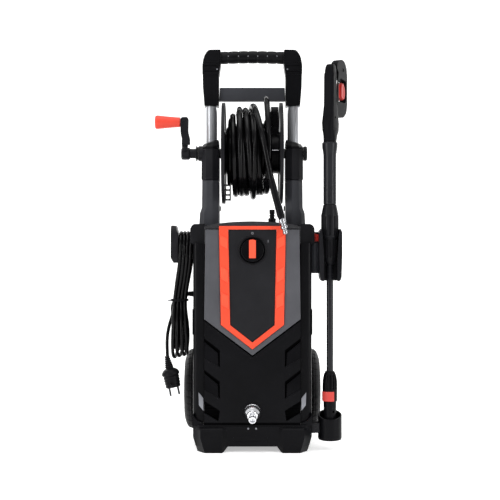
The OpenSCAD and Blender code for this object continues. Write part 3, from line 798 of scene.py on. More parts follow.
# upper panel, trim, control plate
piece("panel_upper", [prism([(-104, 290.6), (-101.5, 484), (101.5, 484), (104, 290.6), (0, 212.2)], FY, FY + 9)],
      [prism(shield(72.3, 500, 4, 225.4), FY - 2, FY + 20)], PANEL, "chassis", 1.3, 4, 25, ("front_panel_upper",))
pads = []
for za, zb in ((468, 447), (400, 374), (345, 318)):
    xo, xi = -71.9 + 4 * (492 - za) / 230, -51.9 + 4 * (492 - za) / 230
    pads.append(prism([(xo + 2, za + 4), (xi - 2, za - 5), (xi - 2 + 0.4, zb - 5), (xo + 2 + 0.4, zb + 4)],
                      -116.9, -114))
# the trim frame takes the darker orange copy, painted shade against the plain orange pads
piece("trim_shield", [prism(shield(72, 491.6, 4, 225.7), -115, -108)],
      [prism(shield(52, 484, 4, 240.6), -118, -105)], ORANGE_PAINTED_SHADE, "chassis", 0.7, 3, 25, ("trim_frame",))
piece("trim_pads", both(*pads), [], ORANGE, "chassis", 0.8, 3, 25)
piece("control_panel", [prism(shield(51.7, 483.7, 4, 241), FY - 0.4, -108)],
      [lathe_bm([(0, -10), (26.2, -10), (26.2, 10), (0, 10)], (0, FY, 439), (0, 1, 0), 64, 0)],
      CONTROL, "chassis", 0.4, 2, 25, ("control_plate",))
lathe("mark_off", [(1.7, 0), (2.5, 0), (2.5, 0.35), (1.7, 0.35), (1.7, 0)], (0, FY - 0.35, 476), (0, -1, 0), LIGHTGREY,
      "chassis", 28, 0)
piece("mark_on", [prism([(33.4, 456), (34.4, 456), (34.4, 461.5), (33.4, 461.5)], FY - 0.8, FY)], [], LIGHTGREY, "chassis", 0.15, 1)
lathe("bezel", [(25.5, -6), (25.5, 1.0), (26.4, 3.4), (28.2, 4.2), (30.0, 3.2), (30.6, 0.3), (30.6, -0.2), (26.3, -0.4),
                (26.3, -6), (25.5, -6)], (0, FY, 439), (0, -1, 0), BLACK, "chassis", 96, 0.3, 2, None, ("switch_bezel",))
knob = lathe_bm([(4, -28), (4, -5.6), (25, -5.6), (25, 3.4), (24.2, 5.4), (22.6, 6.0), (21.6, 5.2), (0, 5.0)], (0, FY, 439),
                (0, -1, 0), 108, 0.4, 2, lambda th, t, r: r * (1 - 0.010 * (math.cos(36 * th) > 0.3)) if 0 < t < 5 and r > 24 else r)
bar = prism([(-8.5, 417), (0, 415.2), (8.5, 417), (8.5, 461), (0, 463.2), (-8.5, 461)], FY - 22, FY - 4)
piece("knob", [knob, bar], [boxm((-7.5, -136, 422), (7.5, -133, 470))], BLACK, "switch", 0.8, 3, 35, ("switch_knob",))
piece("knob_pointer", [prism([(-7.3, 422.4), (7.3, 422.4), (7.3, 460.6), (0, 462.6), (-7.3, 460.6)], -134, -132.4)], [],
      ORANGE, "switch", 0.5, 2, 30, ("switch_pointer",))
piece("knob_tail", [prism([(-6.6, 417.6), (6.6, 417.6), (6.6, 421.4), (-6.6, 421.4)], -133.9, -133)], [], LIGHTGREY, "switch", 0.3, 2)

# deck
crown = [(-104, 485.8), (-104, 490.4), (-90, 494), (-76, 497), (-52, 499.8), (-26, 501.4), (0, 502), (26, 501.4),
         (52, 499.8), (76, 497), (90, 494), (104, 490.4), (104, 485.8)]
piece("deck", [prism(crown, -108, 94)] + both(boxm((-104, -100, 453), (-100.8, 94, 487))),
      [lathe_bm([(0, -20), (8.6, -20), (8.6, 20), (0, 20)], (43.5, -60, 498), (0, 0, 1), 32, 0)] +
      both(boxm((-126, -38, 440), (-73, 52, 520))), DECKM, "chassis", 1.6, 4, 22, ("top_deck",))


def side(name, node, left):
    plan = [(104.5, -100, 1), (129, -100, 15), (129, -54, 3), (116, -50, 3), (116, 97, 4), (104.5, 97, 1)]
    adds = [prism(plan, 66, 454.4, "xy", 1, 8), prism([(106, -58, 1), (126, -54.5, 4), (126, 88, 8), (106, 88, 1)], 236, 454.2, "xy", 1, 5),
            prism([(-97.6, 256), (-85, 256), (-85, 300), (-97.6, 312)], 128.4, 130.4, "yz")]
    cuts = [boxm((100, -37, 430), (122, 51, 460)), boxm((100, 35, 60), (113, 85, 147)),
            lathe_bm([(0, -20), (11, -20), (11, 40), (0, 40)], (116, 60, 119), (1, 0, 0), 32, 0)]
    cuts += [boxm((124.4, -20, z), (130, 60, z + 5)) for z in (290, 301, 312, 323, 334)]
    if left:
        adds, cuts = [mirx(b) for b in adds], [mirx(b) for b in cuts]
    piece(name, adds, cuts, BLACK, "chassis", 1.5, 3, 28, (node,))


side("side_shell_right", "side_cover_right", False)
side("side_shell_left", "side_cover_left", True)
rear_cuts = []
for z in range(150, 277, 14):
    c = loft([[(-60, 101, z - 1), (60, 101, z - 1), (60, 101, z + 6), (-60, 101, z + 6)],
              [(-59, 96.5, z + 1), (59, 96.5, z + 1), (59, 96.5, z + 5.6), (-59, 96.5, z + 5.6)]])
    rear_cuts.append(c)
rear_cuts.append(prism([(-80, 320), (80, 320), (80, 440), (-80, 440)], 97.8, 102, "xz", 8))
piece("rear_panel", [prism([(-103.5, 66), (103.5, 66), (103.5, 485), (-103.5, 485)], 94.3, 99, "xz", 7)], rear_cuts,
      BLACK, "chassis", 0.9, 3, 28, ("rear_cover",))
for i, (x, z) in enumerate(((-92, 84), (92, 84), (-92, 300), (92, 300), (-92, 468), (92, 468))):
    screw("rear_screw_%d" % i, (x, 97.9, z), (0, 1, 0), 3.4, STEEL, "chassis")


# ------------------------------------------------------------------ posts, bearings
def sect(z, xo, xi, yf, yb, zi=None):
    zi = z if zi is None else zi
    zm = z + (zi - z) * (-88.5 - xo) / (xi - xo)
    return [(xo, yb, z), (xo, yf + 13, z), (xo + 9.5, yf + 2.2, z + (zm - z) * 0.4), (-88.5, yf - 0.9, zm), (xi, yf + 4, zi), (xi, yb, zi)]


post = loft([sect(z, xo, xi, -33, 46) for z, xo, xi in ((386, -121, -74), (480, -120, -74), (522, -118, -74.2),
                                                       (535, -113.4, -74.5), (596.4, -112.8, -75))])
piece("post_left", [post.copy()], [], POST, "chassis", 1.6, 4, 12, ("posts",))
piece("post_right", [mirx(post)], [], POST, "chassis", 1.6, 4, 12)
post.free()
house = loft([sect(z, xo, xi, -35, 47.5) for z, xo, xi in ((597, -113.2, -75), (599, -114.2, -74.6), (664, -113.8, -74.8),
                                                         (666, -112.8, -75.6))])
cap = loft([sect(666.2, -113.2, -75.4, -34.4, 47), sect(671, -113, -75.2, -33, 47, 673),
            sect(678, -111, -75.4, -22, 46, 685), sect(681.5, -107, -76.4, -10, 43, 689.4)])
for nm, l in (("left", True), ("right", False)):
    h, c = house.copy(), cap.copy()
    if not l:
        h, c = mirx(h), mirx(c)
    s = -1 if l else 1
    piece("housing_" + nm, [h], [], DARK, "chassis", 1.3, 3, 12, ("bearing_housings",) if l else ())
    piece("housing_cap_" + nm, [c], [], BLACK, "chassis", 1.8, 4, 12)
    e = 121.6 if l else 114.4
    lathe("boss_" + nm, [(11.3, e - 12), (11.3, e), (14.6, e), (15.2, e - 0.8), (16.4, e - 0.8), (17, e - 1.8), (17, e - 12), (11.3, e - 12)],
          (0, RY, RZ), (s, 0, 0), DARK, "chassis", 64, 0.3, 2)
    lathe("stop_button_" + nm, [(0, 74), (6, 74), (6, 72.5), (4.8, 71.2), (0, 71)], (0, 8, 534), (s, 0, 0), BLACK, "chassis", 32, 0.6)

# brackets: cable hook, gun holder, cup
block = prism([(-136, 452.5), (-104.5, 452.5), (-104.5, 497), (-129, 497, 6), (-136, 489, 7)], -82, -39, "xz", 1)
piece("hook_block", [block], [boxm((-137, -84, 490), (-133.5, -37, 491.4))], DARK, "chassis", 2.2, 4, 28)
lathe("hook_saddle", [(0, 134), (24.4, 134), (24.4, 137), (23.8, 138), (23.2, 149), (23.8, 161), (26, 163.4), (0, 163.6)],
      (0, HY, HZ), (-1, 0, 0), DARK, "chassis", 64, 0.8, 3)
wing = prism([(-80, 420, 6), (-74, 411.6, 5), (-28, 411.6, 5), (-22, 420, 6), (-18, 484, 9), (-27, 494, 8), (-67, 494, 8), (-77, 484, 9)],
             -179, -163, "yz", 4)
piece("hook_wing", [wing], [prism([(-180, 409), (-172, 409), (-180, 425)], -90, -10),
                            prism([(-168.5, 496), (-160, 496), (-160, 462)], -90, -10)], DARK, "chassis", 2.4, 4, 26, ("cable_hook",))
block_r = prism([(104.5, 452.5), (136, 452.5), (136, 489, 7), (129, 497, 6), (104.5, 497)], -82, -39, "xz", 1)
arms = prism([(146.5, 380, 4), (150, 372.3, 3), (190, 372.3, 3), (193.5, 380, 4), (195, 430), (195, 479, 6), (190.6, 487, 3),
              (149.4, 487, 3), (145, 479, 6), (145, 430)], -101, -49, "xz", 1)
piece("holder_block", [block_r, boxm((129.3, -76, 452.5), (147, -40, 458)), boxm((129.3, -46, 456), (147, -36, 480))],
      [boxm((130.3, -77, 458), (146.9, -46, 500))], DARK, "chassis", 1.6, 3, 28)
piece("holder_web", [prism([(129.3, -76, 1), (138, -80, 6), (147, -74, 2), (147, -56, 1), (129.3, -56, 1)], 389, 455, "xy", 1)], [],
      POST, "chassis", 1.6, 4, 28)
piece("holder_jaws", [arms],
      [boxm((149.5, -97, 371), (190.5, -53.5, 489)), prism([(155.5, 369), (184.5, 369), (184.5, 420), (187.5, 470), (190, 489), (150, 489),
                                                          (152.5, 470), (155.5, 420)], -103, -95)],
      DARK, "chassis", 1.7, 4, 26, ("gun_holder",))
piece("latch_button", [prism([(131, 458.6), (146.4, 458.6), (146.4, 473), (131, 478)], -70, -52)],
      [boxm((133 + 3.2 * i, -71, 462), (134.2 + 3.2 * i, -69.2, 470)) for i in range(4)], RED, "latch", 0.9, 3, 28, ("holder_latch",))
cup = tmp(lathe_bm([(0, 24), (21, 24), (25, 25.6), (26, 30), (26, 97), (23, 97), (23, 33), (20, 29.5), (0, 29.5)],
                   (GX, GY, 0), (0, 0, 1), 96, 0.6, 2))
boolean(cup, tmp(prism([(GY - 31, 69.7), (GY + 31, 89.3), (GY + 31, 110), (GY - 31, 110)], GX - 40, GX + 40, "yz")), "DIFFERENCE")
done(soften(cup, 0.9, 3, 35), "cup", BLACK, "chassis", ("lance_cup",))
piece("cup_arm", [prism([(129.4, -96, 1), (146, -92, 3), (148.4, -82, 1), (148.4, -66, 1), (146, -64, 2), (129.4, -64, 1)], 42.2, 62.8, "xy", 1)],
      [], DARK, "chassis", 1.4, 3, 28)

# fittings
T = math.radians(22)
lathe("inlet_adaptor_body", [(0, -3), (8, -3), (8, 3), (12.6, 5.4), (15.4, 7.6), (17.2, 11), (17.6, 13), (17.6, 18), (16.9, 19), (16.9, 20.6), (17.6, 21.6),
                             (17.5, 26.8), (16.2, 31), (12.6, 36.4), (12.4, 38.4), (10.8, 40.6), (8.5, 41.8), (8.5, 47), (7.7, 47.8), (7.7, 49.2), (8.5, 50),
                             (8.5, 54.4), (7.6, 55.8), (5.6, 55.9), (5.2, 48), (0, 48)],
      (0, -98, 99), (0, -math.cos(T), -math.sin(T)), CHROME, "chassis", 120, 0.35, 2,
      lambda th, t, r: r * (1 - 0.03 * (math.cos(24 * th) > 0.2)) if 9 < t < 28 else r, ("inlet_adaptor",), 30)
lathe("outlet_nipple", [(0, -9), (7, -9), (7, 2.2), (8.6, 2.2), (8.6, 5), (7.2, 5.6), (8.6, 6.4), (8.6, 11), (5.2, 12.6), (5.2, 15.6), (6, 16.2),
                        (6, 19), (4.9, 19.6), (4.9, 21.2), (6, 22), (6, 29.6), (5, 31), (3, 31), (2.8, 20), (0, 20)],
      (43.5, -60, 498), (0, 0, 1), BLACK, "chassis", 48, 0.25, 2, None, ("outlet_fitting",))
GP = [(0, -1), (11, -1), (11, 3.6), (9.4, 5), (7.4, 5.6)]
for i in range(5):
    t0, r0 = 6.4 + 3.2 * i, 6.9 - 0.34 * i
    GP += [(r0, t0), (r0, t0 + 1.9), (r0 - 1.3, t0 + 2.3), (r0 - 1.3, t0 + 3.0)]
GP += [(4.6, 22.4), (3.9, 22.5)]
lathe("gland", GP, (-126.6, 16, 340), (-1, 0, 0), GRIPR, "chassis", 40, 0.2, 2, None, ("cable_gland",))

# ------------------------------------------------------------------ handle
head = [(-113.4, 838, 3), (-113.8, 862, 8), (-109.5, 882, 10), (-100, 895.4, 6), (-72.2, 895.8, 2.5), (-71.8, 862, 6), (-75.6, 838, 3)]
stem = [(-109, 768, 1), (-112.4, 812), (-113, 842), (-75.8, 842), (-76, 800), (-76, 768, 1)]
grooves = [boxm((-110, 6, z), (-79, 10.6, z + 3.4)) for z in (857.2, 844.4)] + [boxm((-115, 6, z), (-76.5, 9.0, z + 1.6)) for z in (866, 837.4)]
for nm, l in (("left", True), ("right", False)):
    adds = [prism(head, 8, 48, "xz", 1), prism(stem, 9.4, 46.6, "xz", 1)]
    cuts = [g.copy() for g in grooves]
    if not l:
        adds, cuts = [mirx(b) for b in adds], [mirx(b) for b in cuts]
    piece("handle_corner_" + nm, adds, cuts, BLACK, "handle", 1.7, 4, 26, ("handle_corners",) if l else ())
    s = -1 if l else 1
    for i, z in enumerate((850.9,)):
        screw("handle_screw_%s_%d" % (nm, i), (s * 80, 8.3, z), (0, -1, 0), 1.6, LIGHTGREY, "handle")
    lathe("tube_" + nm, [(11.6, 451), (12.4, 450), (13, 450.8), (13, 700), (13, 839), (12.2, 839.6), (11.6, 839.6), (11.6, 451)],
          (s * 93.5, 28, 0), (0, 0, 1), ALU, "handle", 64, 0.3, 2, None, ("handle_tubes",) if l else ())
seps = (-54.5, -31.5, -9.5, 12.5, 34.5, 56.5)
gp_ = [(13.2, -73)]
for i in range(0, 291):
    x = -72.5 + 0.5 * i
    gp_.append((14.1 + 0.25 * math.cos((x + 20.5) / 22 * 2 * math.pi) - sum(0.9 * math.exp(-((x - c) / 1.1) ** 2) for c in seps), x))
gp_.append((13.2, 73))
gr = lathe_bm(gp_, (0, 28, 879.8), (1, 0, 0), 56, 0)
for v in gr.verts:
    v.co.z += (1.9 * (1 - (v.co.x / MM / 72.5) ** 2)) * MM
done(wnormal(tmp(gr), 50), "grip_sleeve", GRIPR, "handle", ("handle_grip",))
for i, c in enumerate(seps):
    lathe("grip_dot_%d" % i, [(0, 0), (1.3, 0), (1.1, 0.7), (0, 1.0)], (c, 14.9, 882), (0, -1, 0.1), LIGHTGREY, "handle", 16, 0.2)
piece("crossbar", [prism([(-75.6, 780), (-74.2, 810.7), (74.2, 810.7), (75.6, 780)], 18, 38)], [], POST, "handle", 2.0, 4, 28,
      ("handle_crossbar",))

# ------------------------------------------------------------------ reel
for nm, s in (("left", -1), ("right", 1)):
    fl = tmp(lathe_bm([(11.1, 60.2), (48.6, 60.2), (49, 62.6), (107.6, 62.9), (108.4, 60.4), (112.8, 60.2), (113.4, 61), (113.4, 67.2),
                       (112.8, 68), (107.8, 67.8), (107.2, 65.8), (30, 65.8), (28, 67.6), (11.1, 67.6), (11.1, 60.2)],
                      (0, RY, RZ), (s, 0, 0), 96, 0.4, 2))
    sp = []
    for k in range(12):
        a = 2 * math.pi * (k + 0.5) / 12
        ca, sa = math.cos(a), math.sin(a)
        poly = [(RY + r * ca - w * sa, RZ + r * sa + w * ca) for r, w in ((27, -2.0), (107.6, -1.2), (107.6, 1.2), (27, 2.0))]
        sp.append(tmp(prism(poly, 65.5 if s > 0 else -67.4, 67.4 if s > 0 else -65.5, "yz")))
    j = join(fl, *sp)
    done(soften(j, 0.35, 2, 30), "flange_" + nm, DARK, "reel", ("reel_flanges",) if s < 0 else ())
lathe("drum", [(42, -60), (44.6, -60), (45, -59), (45, 59), (44.6, 60), (42, 60), (42, -60)], (0, RY, RZ), (1, 0, 0), BLACK, "reel", 96, 0.3, 2,
      None, ("reel_drum",), 25)
lathe("shaft", [(0, -140.6), (10.6, -140.4), (10.8, -128), (12, -127.4), (17.2, -126.6), (17.4, -125), (13.2, -124.5), (13.2, -123.8),
                (16.4, -123.4), (16.4, -122.4), (11, -121.9), (11, 115), (15.6, 115), (16.4, 116.4), (16.4, 121.4), (15, 123.2), (10.8, 123.5),
                (10.2, 122.5), (5.4, 122.5), (4.8, 123.6), (0, 123.8)], (0, RY, RZ), (1, 0, 0), DARK, "reel", 64, 0.35, 2, None, ("reel_shaft",))
hubs = csg([lathe_bm([(0, -160), (11.4, -160), (14, -158), (14.2, -150), (14, -142.4), (12.4, -140.6), (0, -140.4)], (0, RY, RZ), (1, 0, 0), 12, 0.5, 2)],
           [boxm((-162, RY - 4.7, 649.5), (-142, RY + 4.7, 700))])
done(soften(hubs, 0.9, 3, 20), "crank_hub", DARK, "reel")
lathe("fold_pin", [(0, -17), (4.2, -17), (5, -16), (5, -13.4), (3, -13), (3, 12.4), (2.4, 13), (0, 13)], (-152, RY, 666), (0, 1, 0), DARK, "reel",
      28, 0.3, 2, None, ("crank_pin",))
piece("coupling_box", [prism([(RY - 27, 657), (RY + 27, 657), (RY + 27, 752, 6), (RY + 19, 761, 6), (RY - 19, 761, 6), (RY - 27, 752, 6)], 42, 58, "yz", 1),
                       prism([(RY - 26, 657), (RY + 26, 657), (RY + 26, 738, 8), (RY + 16, 750, 8), (RY - 16, 750, 8), (RY - 26, 738, 8)], 29, 42.2, "yz", 1)],
      [lathe_bm([(0, 20), (45.2, 20), (45.2, 70), (0, 70)], (0, RY, RZ), (1, 0, 0), 64, 0),
       prism([(45, 712), (56, 712), (56, 744), (45, 744)], -40, RY - 25.4)], BLACK, "reel", 1.4, 3, 28, ("hose_coupling",))
lathe("coupling_swivel", [(0, 0), (9.6, 0), (9.6, 4), (8.4, 5), (10.6, 6), (10.6, 12), (9.4, 13), (0, 13)], (36, RY - 24, 722), (0, -1, 0),
      BLACK, "reel", 12, 0.4, 2)
wire = loft([[(x, RY - 48.6 + 1.1 * math.cos(a), 660 + 1.1 * math.sin(a)) for a in [2 * math.pi * k / 10 for k in range(10)]]
             for x in (29, 30, 44, 57.6, 58.6)])
done(wnormal(tmp(wire), 50), "coupling_wire", STEEL, "reel")
piece("ladder_clip", [boxm((-62.9, RY - 9, z), (-48.2, RY + 9, z + 3.4)) for z in (551.2, 562.2, 573.2, 584.2)] +
      [boxm((-51.2, RY - 9, 551.2), (-48.2, RY - 5, 587.6)), boxm((-51.2, RY + 5, 551.2), (-48.2, RY + 9, 587.6))],
      [], BLACK, "reel", 0.7, 2, 28, ("hose_clip",))
arm = prism([(-158.6, 677), (-158.4, 690), (-161.5, 704, 5), (-161.5, 735, 3), (-158, 739, 2), (-146.4, 739, 2), (-143.6, 735, 2),
             (-144.4, 706, 5), (-140.2, 690, 4), (-140.2, 677)], RY - 9, RY + 9, "xz", 1)
tong = prism([(-158, 661, 4), (-146, 661, 4), (-145, 680), (-158.8, 680)], RY - 4.1, RY + 4.1, "xz", 1)
piece("crank_lever", [arm, tong], [prism([(-157.8, 700, 3), (-149, 700, 3), (-149, 732, 3), (-157.8, 732, 3)], RY - 10, RY - 7.6, "xz", 1)],
      DARK, "crank", 1.3, 3, 26, ("crank_arm",))
lathe("grip_spindle", [(0, 160), (4, 160), (4, 213), (3, 214), (0, 214)], (0, RY, 728), (-1, 0, 0), STEEL, "crank", 24, 0.3)
lathe("crank_knob", [(4.1, 162.2), (9.8, 162.2), (11.1, 163.4), (11.3, 166), (12.2, 180), (13.6, 195), (14.8, 207), (15.5, 213), (15.0, 217.4),
                     (12.6, 219), (5, 218.6), (4.4, 217.8), (0, 217.8)], (0, RY, 728), (-1, 0, 0), GRIPO, "crank_grip", 64, 0.8, 4,
      lambda th, t, r: r * (1 - 0.012 * max(0.0, math.cos(8 * th)) ** 6) if 166 < t < 214 else r, ("crank_grip",), 45)

# ------------------------------------------------------------------ wheels
for nm, s in (("left", -1), ("right", 1)):
    lathe("tread_" + nm, [(66, 4.2), (80, 1.2), (84.6, 1.4), (85.4, 2.2), (88, 3.2), (91.2, 7.6), (92, 12), (90.6, 13), (90.6, 14.4),
                          (91.9, 15.4), (91.8, 18), (90.4, 19), (90.2, 20.4), (90.6, 21.8), (88.8, 24), (86, 26.8), (83.2, 28.6), (82.4, 28.4),
                          (80, 30.2), (76, 31.4), (72, 32.4), (70.8, 33.2), (66, 33.2), (66, 4.2)],
          (s * 121, 60, 119), (s, 0, 0), TYRE, "wheel_" + nm, 288, 0.3, 1,
          lambda th, t, r: r - 1.8 if r > 87.5 and (math.cos(36 * th + (math.pi if t > 14 else 0)) > 0.72) else r, ("tyre_" + nm,), 35)
    rim = tmp(lathe_bm([(8.2, -3), (16, -3), (16, 6), (60, 6), (60, 4.2), (65.9, 4.2), (65.9, 33.2), (63.6, 33.8), (61, 32.4), (58.6, 27.6),
                        (55, 26.4), (38, 25.4), (32.6, 27), (30.6, 34), (28, 35.6), (16, 35.6), (14.6, 34.6), (0, 34.6)],
                       (s * 121, 60, 119), (s, 0, 0), 96, 0.6, 2))
    sp = []
    for k in range(10):
        a = 2 * math.pi * k / 10
        ca, sa = math.cos(a), math.sin(a)
        rings_ = []
        for r, w, t in ((29, 4.6, 33.6), (42, 3.8, 30.4), (59.6, 3.0, 30.6)):
            rings_.append([(s * (121 + tt), 60 + r * ca - ww * sa, 119 + r * sa + ww * ca) for tt, ww in
                           ((23, -w - 1), (t - 1, -w), (t, -w + 1), (t, w - 1), (t - 1, w), (23, w + 1))])
        sp.append(tmp(loft(rings_)))
    done(soften(join(rim, *sp), 0.5, 2, 32), "hub_" + nm, DARK, "wheel_" + nm, ("rim_" + nm,))


# ------------------------------------------------------------------ gun and lance
def to_gun(bm):
    for v in bm.verts:
        x, y, z = (c / MM for c in v.co)
        v.co = Vector((GX + x * CG - y * SG, GY + x * SG + y * CG, K0 + (z - K0) * KK)) * MM
    return bm


def lance_lathe(name, prof, mat, body, rep=(), seg=64, r=0.6, n=3, rib=None, sharp=40, cuts=()):
    bm = lathe_bm(prof, (0, 0, 0), (0, 0, 1), seg, r, n, rib)
    for b in (bm, *cuts):
        for v in b.verts:
            v.co = Vector((v.co.x + GX * MM, v.co.y + GY * MM, (K0 + (v.co.z / MM - K0) * KK) * MM))
    o = tmp(bm)
    for c in cuts:
        boolean(o, tmp(c), "DIFFERENCE")
    return done(wnormal(o, sharp), name, mat, body, rep)


def oval(z, uc, a, b, n):
    out = []
    for k in range(40):
        th = 2 * math.pi * k / 40
        c, s = math.cos(th), math.sin(th)
        out.append((uc + a * math.copysign(abs(c) ** (2 / n), c), b * math.copysign(abs(s) ** (2 / n), s), z))
    return out


GUNB = loft([oval(*g) for g in ((677, 0, 14.8, 13.8, 2), (684, 1, 16, 13.6, 2.2), (694, 2, 17.4, 13.4, 2.6), (706, 3.4, 23, 13.8, 3.2), (722, 3.2, 22.4, 13.8, 4.2),
                                (740, 3, 17, 13, 5), (770, 3, 12.6, 11.2, 5), (812, 3, 12, 10.8, 5), (838, 3.4, 11.4, 10.4, 5), (849, 4.4, 9.6, 9.4, 4.4), (853, 5, 7, 7.4, 3.4))])
BOW = prism([(14, 738, 2), (50, 738, 8), (66, 752, 12), (69, 770, 8), (69, 836, 8), (66, 854, 8), (56, 866, 9), (42, 869, 6), (28, 866, 8), (18, 856, 6), (16, 846, 2), (24, 838)],
            -10, 5.9, "xz", 2, 6)
GAPC = prism([(25, 772, 3), (58, 772, 6), (63, 780, 5), (63, 822, 6), (34, 826, 4), (25, 820, 4)], -20, 20, "xz", 2, 5)
ROOM = prism([(10, 784), (30, 778), (36, 776), (36, 826), (10, 822)], -7, 7)
RIDGE = prism([(-6, 722, 3), (9, 722, 3), (10, 728, 3), (9, 834, 4), (-4, 834, 4), (-5, 822, 4)], -11.9, 11.9, "xz", 1)
body_all = [GUNB, BOW, RIDGE]
for nm, sgn, node in (("left", 1, "gun_shell_left"), ("right", -1, "gun_shell_right")):
    adds = [to_gun(b.copy()) for b in body_all]
    half = prism([(-60, 660), (90, 660), (90, 880), (-60, 880)], *((-40, 0.12) if sgn > 0 else (-0.12, 40)))
    lines = [boxm((-30, -20, 706), (40, -13.0, 707.4)), boxm((-30, 13.0, 706), (40, 20, 707.4))]
    cuts = [to_gun(b) for b in (GAPC.copy(), ROOM.copy(), half, *lines)]
    cuts.append(to_gun(lathe_bm([(0, -20), (4.3, -20), (4.3, 20), (0, 20)], (48, 0, 846), (0, 1, 0), 28, 0)))
    cuts += [to_gun(lathe_bm([(0, 11.6), (2.4, 11.6), (2.4, 20), (0, 20)], (x, 0, z), (0, sgn, 0), 20, 0)) for x, z in ((0, 734), (3, 820), (1, 776))]
    piece("gun_" + nm, adds, cuts, GUNM, "gun", 1.3, 3, 32, (node,))
for b in body_all + [GAPC, ROOM]:
    b.free()
lance_lathe("gun_barrel", [(5.6, 507), (6, 506), (6, 541), (13.4, 541), (14.2, 543), (14.3, 652), (14.8, 655), (16.9, 668), (17.1, 676), (16.4, 678.6),
                           (10, 679.6), (8, 681), (8, 740)], SLEEVE, "gun", ("gun_sleeve",), 96, 0.5, 2,
            lambda th, t, r: r * (1 - 0.028 * (0.5 + 0.5 * math.cos(8 * th)) ** 3) if 546 < t < 650 else r, 30)
piece("trigger_lever", [to_gun(prism([(14, 792, 2), (22, 790), (36, 783, 3), (56, 778, 4), (60, 792, 4), (59, 807, 4), (50, 819, 4), (36, 812, 3), (22, 808), (14, 806, 2)],
                                     -5.6, 5.2, "xz", 1)), to_gun(prism([(41, 784, 3), (55.4, 780, 4), (59.4, 792, 4), (58.4, 806, 4), (50, 817, 4), (41, 812, 3)], -9.2, -5, "xz", 1))],
      [to_gun(prism([(44, 788, 2), (54, 786, 2), (54.4, 806, 2), (48, 811, 2)], -12, -8.6, "xz", 1))], BRIGHTRED, "trigger", 1.1, 3, 28, ("trigger",))
lk = to_gun(lathe_bm([(0, -8.4), (3, -8.4), (3.9, -7.4), (3.9, 7.4), (3, 8.4), (0, 8.4)], (48, 0, 846), (0, 1, 0), 28, 0.4))
done(wnormal(tmp(lk), 40), "lock_bolt", BLACK, "trigger_lock", ("trigger_lock",))
lance_lathe("nut_adaptor", [(7.5, 408), (9.6, 409.5), (14.3, 419), (15.2, 423), (15.9, 426), (15.9, 440), (15.9, 462), (15.6, 464), (16.2, 466), (18.9, 467.4), (19.3, 469),
                            (19.3, 472), (19.3, 472.6), (19.3, 515), (19.3, 515.6), (19.1, 518.6), (18.6, 520), (14.6, 540), (13.6, 540.6), (6.2, 540.6)],
            DARK, "lance", ("coupling_nut",), 192, 0.35, 2,
            lambda th, t, r: r - 1.9 if 472.3 < t < 515.3 and math.cos(12 * th + 0.6) > 0.72 else (r - 1.5 if 425 < t < 463 and math.cos(14 * th) > 0.3 else r), 30)
lance_lathe("wand", [(6.6, 119.6), (7.35, 120.4), (7.35, 494), (6.6, 494.8)], SLEEVE, "lance", ("lance_wand",), 48, 0.3)
lance_lathe("nozzle_body", [(0, 24.6), (10.4, 24.6), (12.6, 26.6), (13.4, 30), (13.6, 60), (14.0, 96), (14.2, 103), (15.4, 104.6), (15.9, 107), (16.2, 128), (16.2, 131),
                            (16.2, 132), (16, 150), (13.4, 163), (13.0, 164), (9.8, 171), (7.6, 171.6), (7.5, 168)], BLACK, "nozzle", ("nozzle_head",), 192, 0.4, 2,
            lambda th, t, r: r - 2.6 if 131.5 < t < 163.5 and math.cos(14 * th) > 0.25 else r, 30,
            (lathe_bm([(0, 20), (5, 20), (5, 46), (0, 46)], (0, 0, 0), (0, 0, 1), 28, 0),
             lathe_bm([(0, 9), (2.7, 9), (2.7, 20), (0, 20)], (0, 0, 82), (0.5, -0.866, 0), 20, 0)))
tabr = []
for k in range(19):
    a = math.radians(190 + 108 * k / 18)
    e = 1.0 if 0 < k < 18 else 0.75
    tabr.append([(GX + r * math.cos(a), GY + r * math.sin(a), K0 + (z - K0) * KK) for r, z in
                 ((15.6, 105.5), (17.0, 105.2), (18.0 * (0.98 if e < 1 else 1), 106.6), (18.1 * (0.98 if e < 1 else 1), 125.4), (17.0, 126.8), (15.6, 126.5))])
done(soften(tmp(loft(tabr)), 0.4, 2, 35), "nozzle_slide", TABM, "nozzle", ("nozzle_tab",))

# ------------------------------------------------------------------ plug, hose end, cable tie
PT = math.radians(11.8)
PA = Vector((math.sin(PT), 0, -math.cos(PT)))
PO = Vector((-187, -66, 202))
PP = [(3.8, -5), (4.9, -4.6)]
for i in range(6):
    t0, r0 = -4.2 + 4.4 * i, 5.4 + 0.78 * i
    PP += [(r0, t0), (r0 + 0.3, t0 + 2.6), (r0 - 1.0, t0 + 3.1), (r0 - 1.0, t0 + 4.0)]
PP += [(8.6, 22.6), (11, 23.6), (14.6, 25.8), (17.4, 28.8), (19.2, 32.4), (19.7, 35.6), (18.9, 37.6), (17.2, 38.4), (16.4, 39.6), (17.4, 41.0), (17.6, 44.4), (16.5, 45.2),
       (16.5, 46.6), (17.4, 47.4), (17.3, 50.8), (16.3, 51.6), (16.3, 53), (17.1, 53.8), (16.9, 57.4), (15.9, 58.2), (15.9, 59.6), (16.6, 60.4), (16.2, 64.6), (15.2, 65.2),
       (14.8, 63.6), (0, 63.4)]
plug_o = tmp(lathe_bm(PP, PO, PA, 72, 0.3, 2))
for s in (-1, 1):
    c = Vector((0, 1, 0)) * s
    cb = lathe_bm([(0, -2), (4.2, -2), (4.2, 8), (0, 8)], PO + PA * 54 + c * 15.6, c, 20, 0)
    boolean(plug_o, tmp(cb), "DIFFERENCE")
plug_p = done(wnormal(plug_o, 35), "plug_body", GRIPR, "chassis", ("plug",))
PX = Vector((math.cos(PT), 0, math.sin(PT)))
for i, s in enumerate((-1, 1)):
    lathe("plug_pin_%d" % i, [(0, 60), (2.4, 60), (2.4, 81.6), (1.6, 83.6), (0, 84)], PO + PX * 9.5 * s, PA, DKSTEEL, "chassis", 24, 0.5)
FD = Vector((6, -2, -22)).normalized()
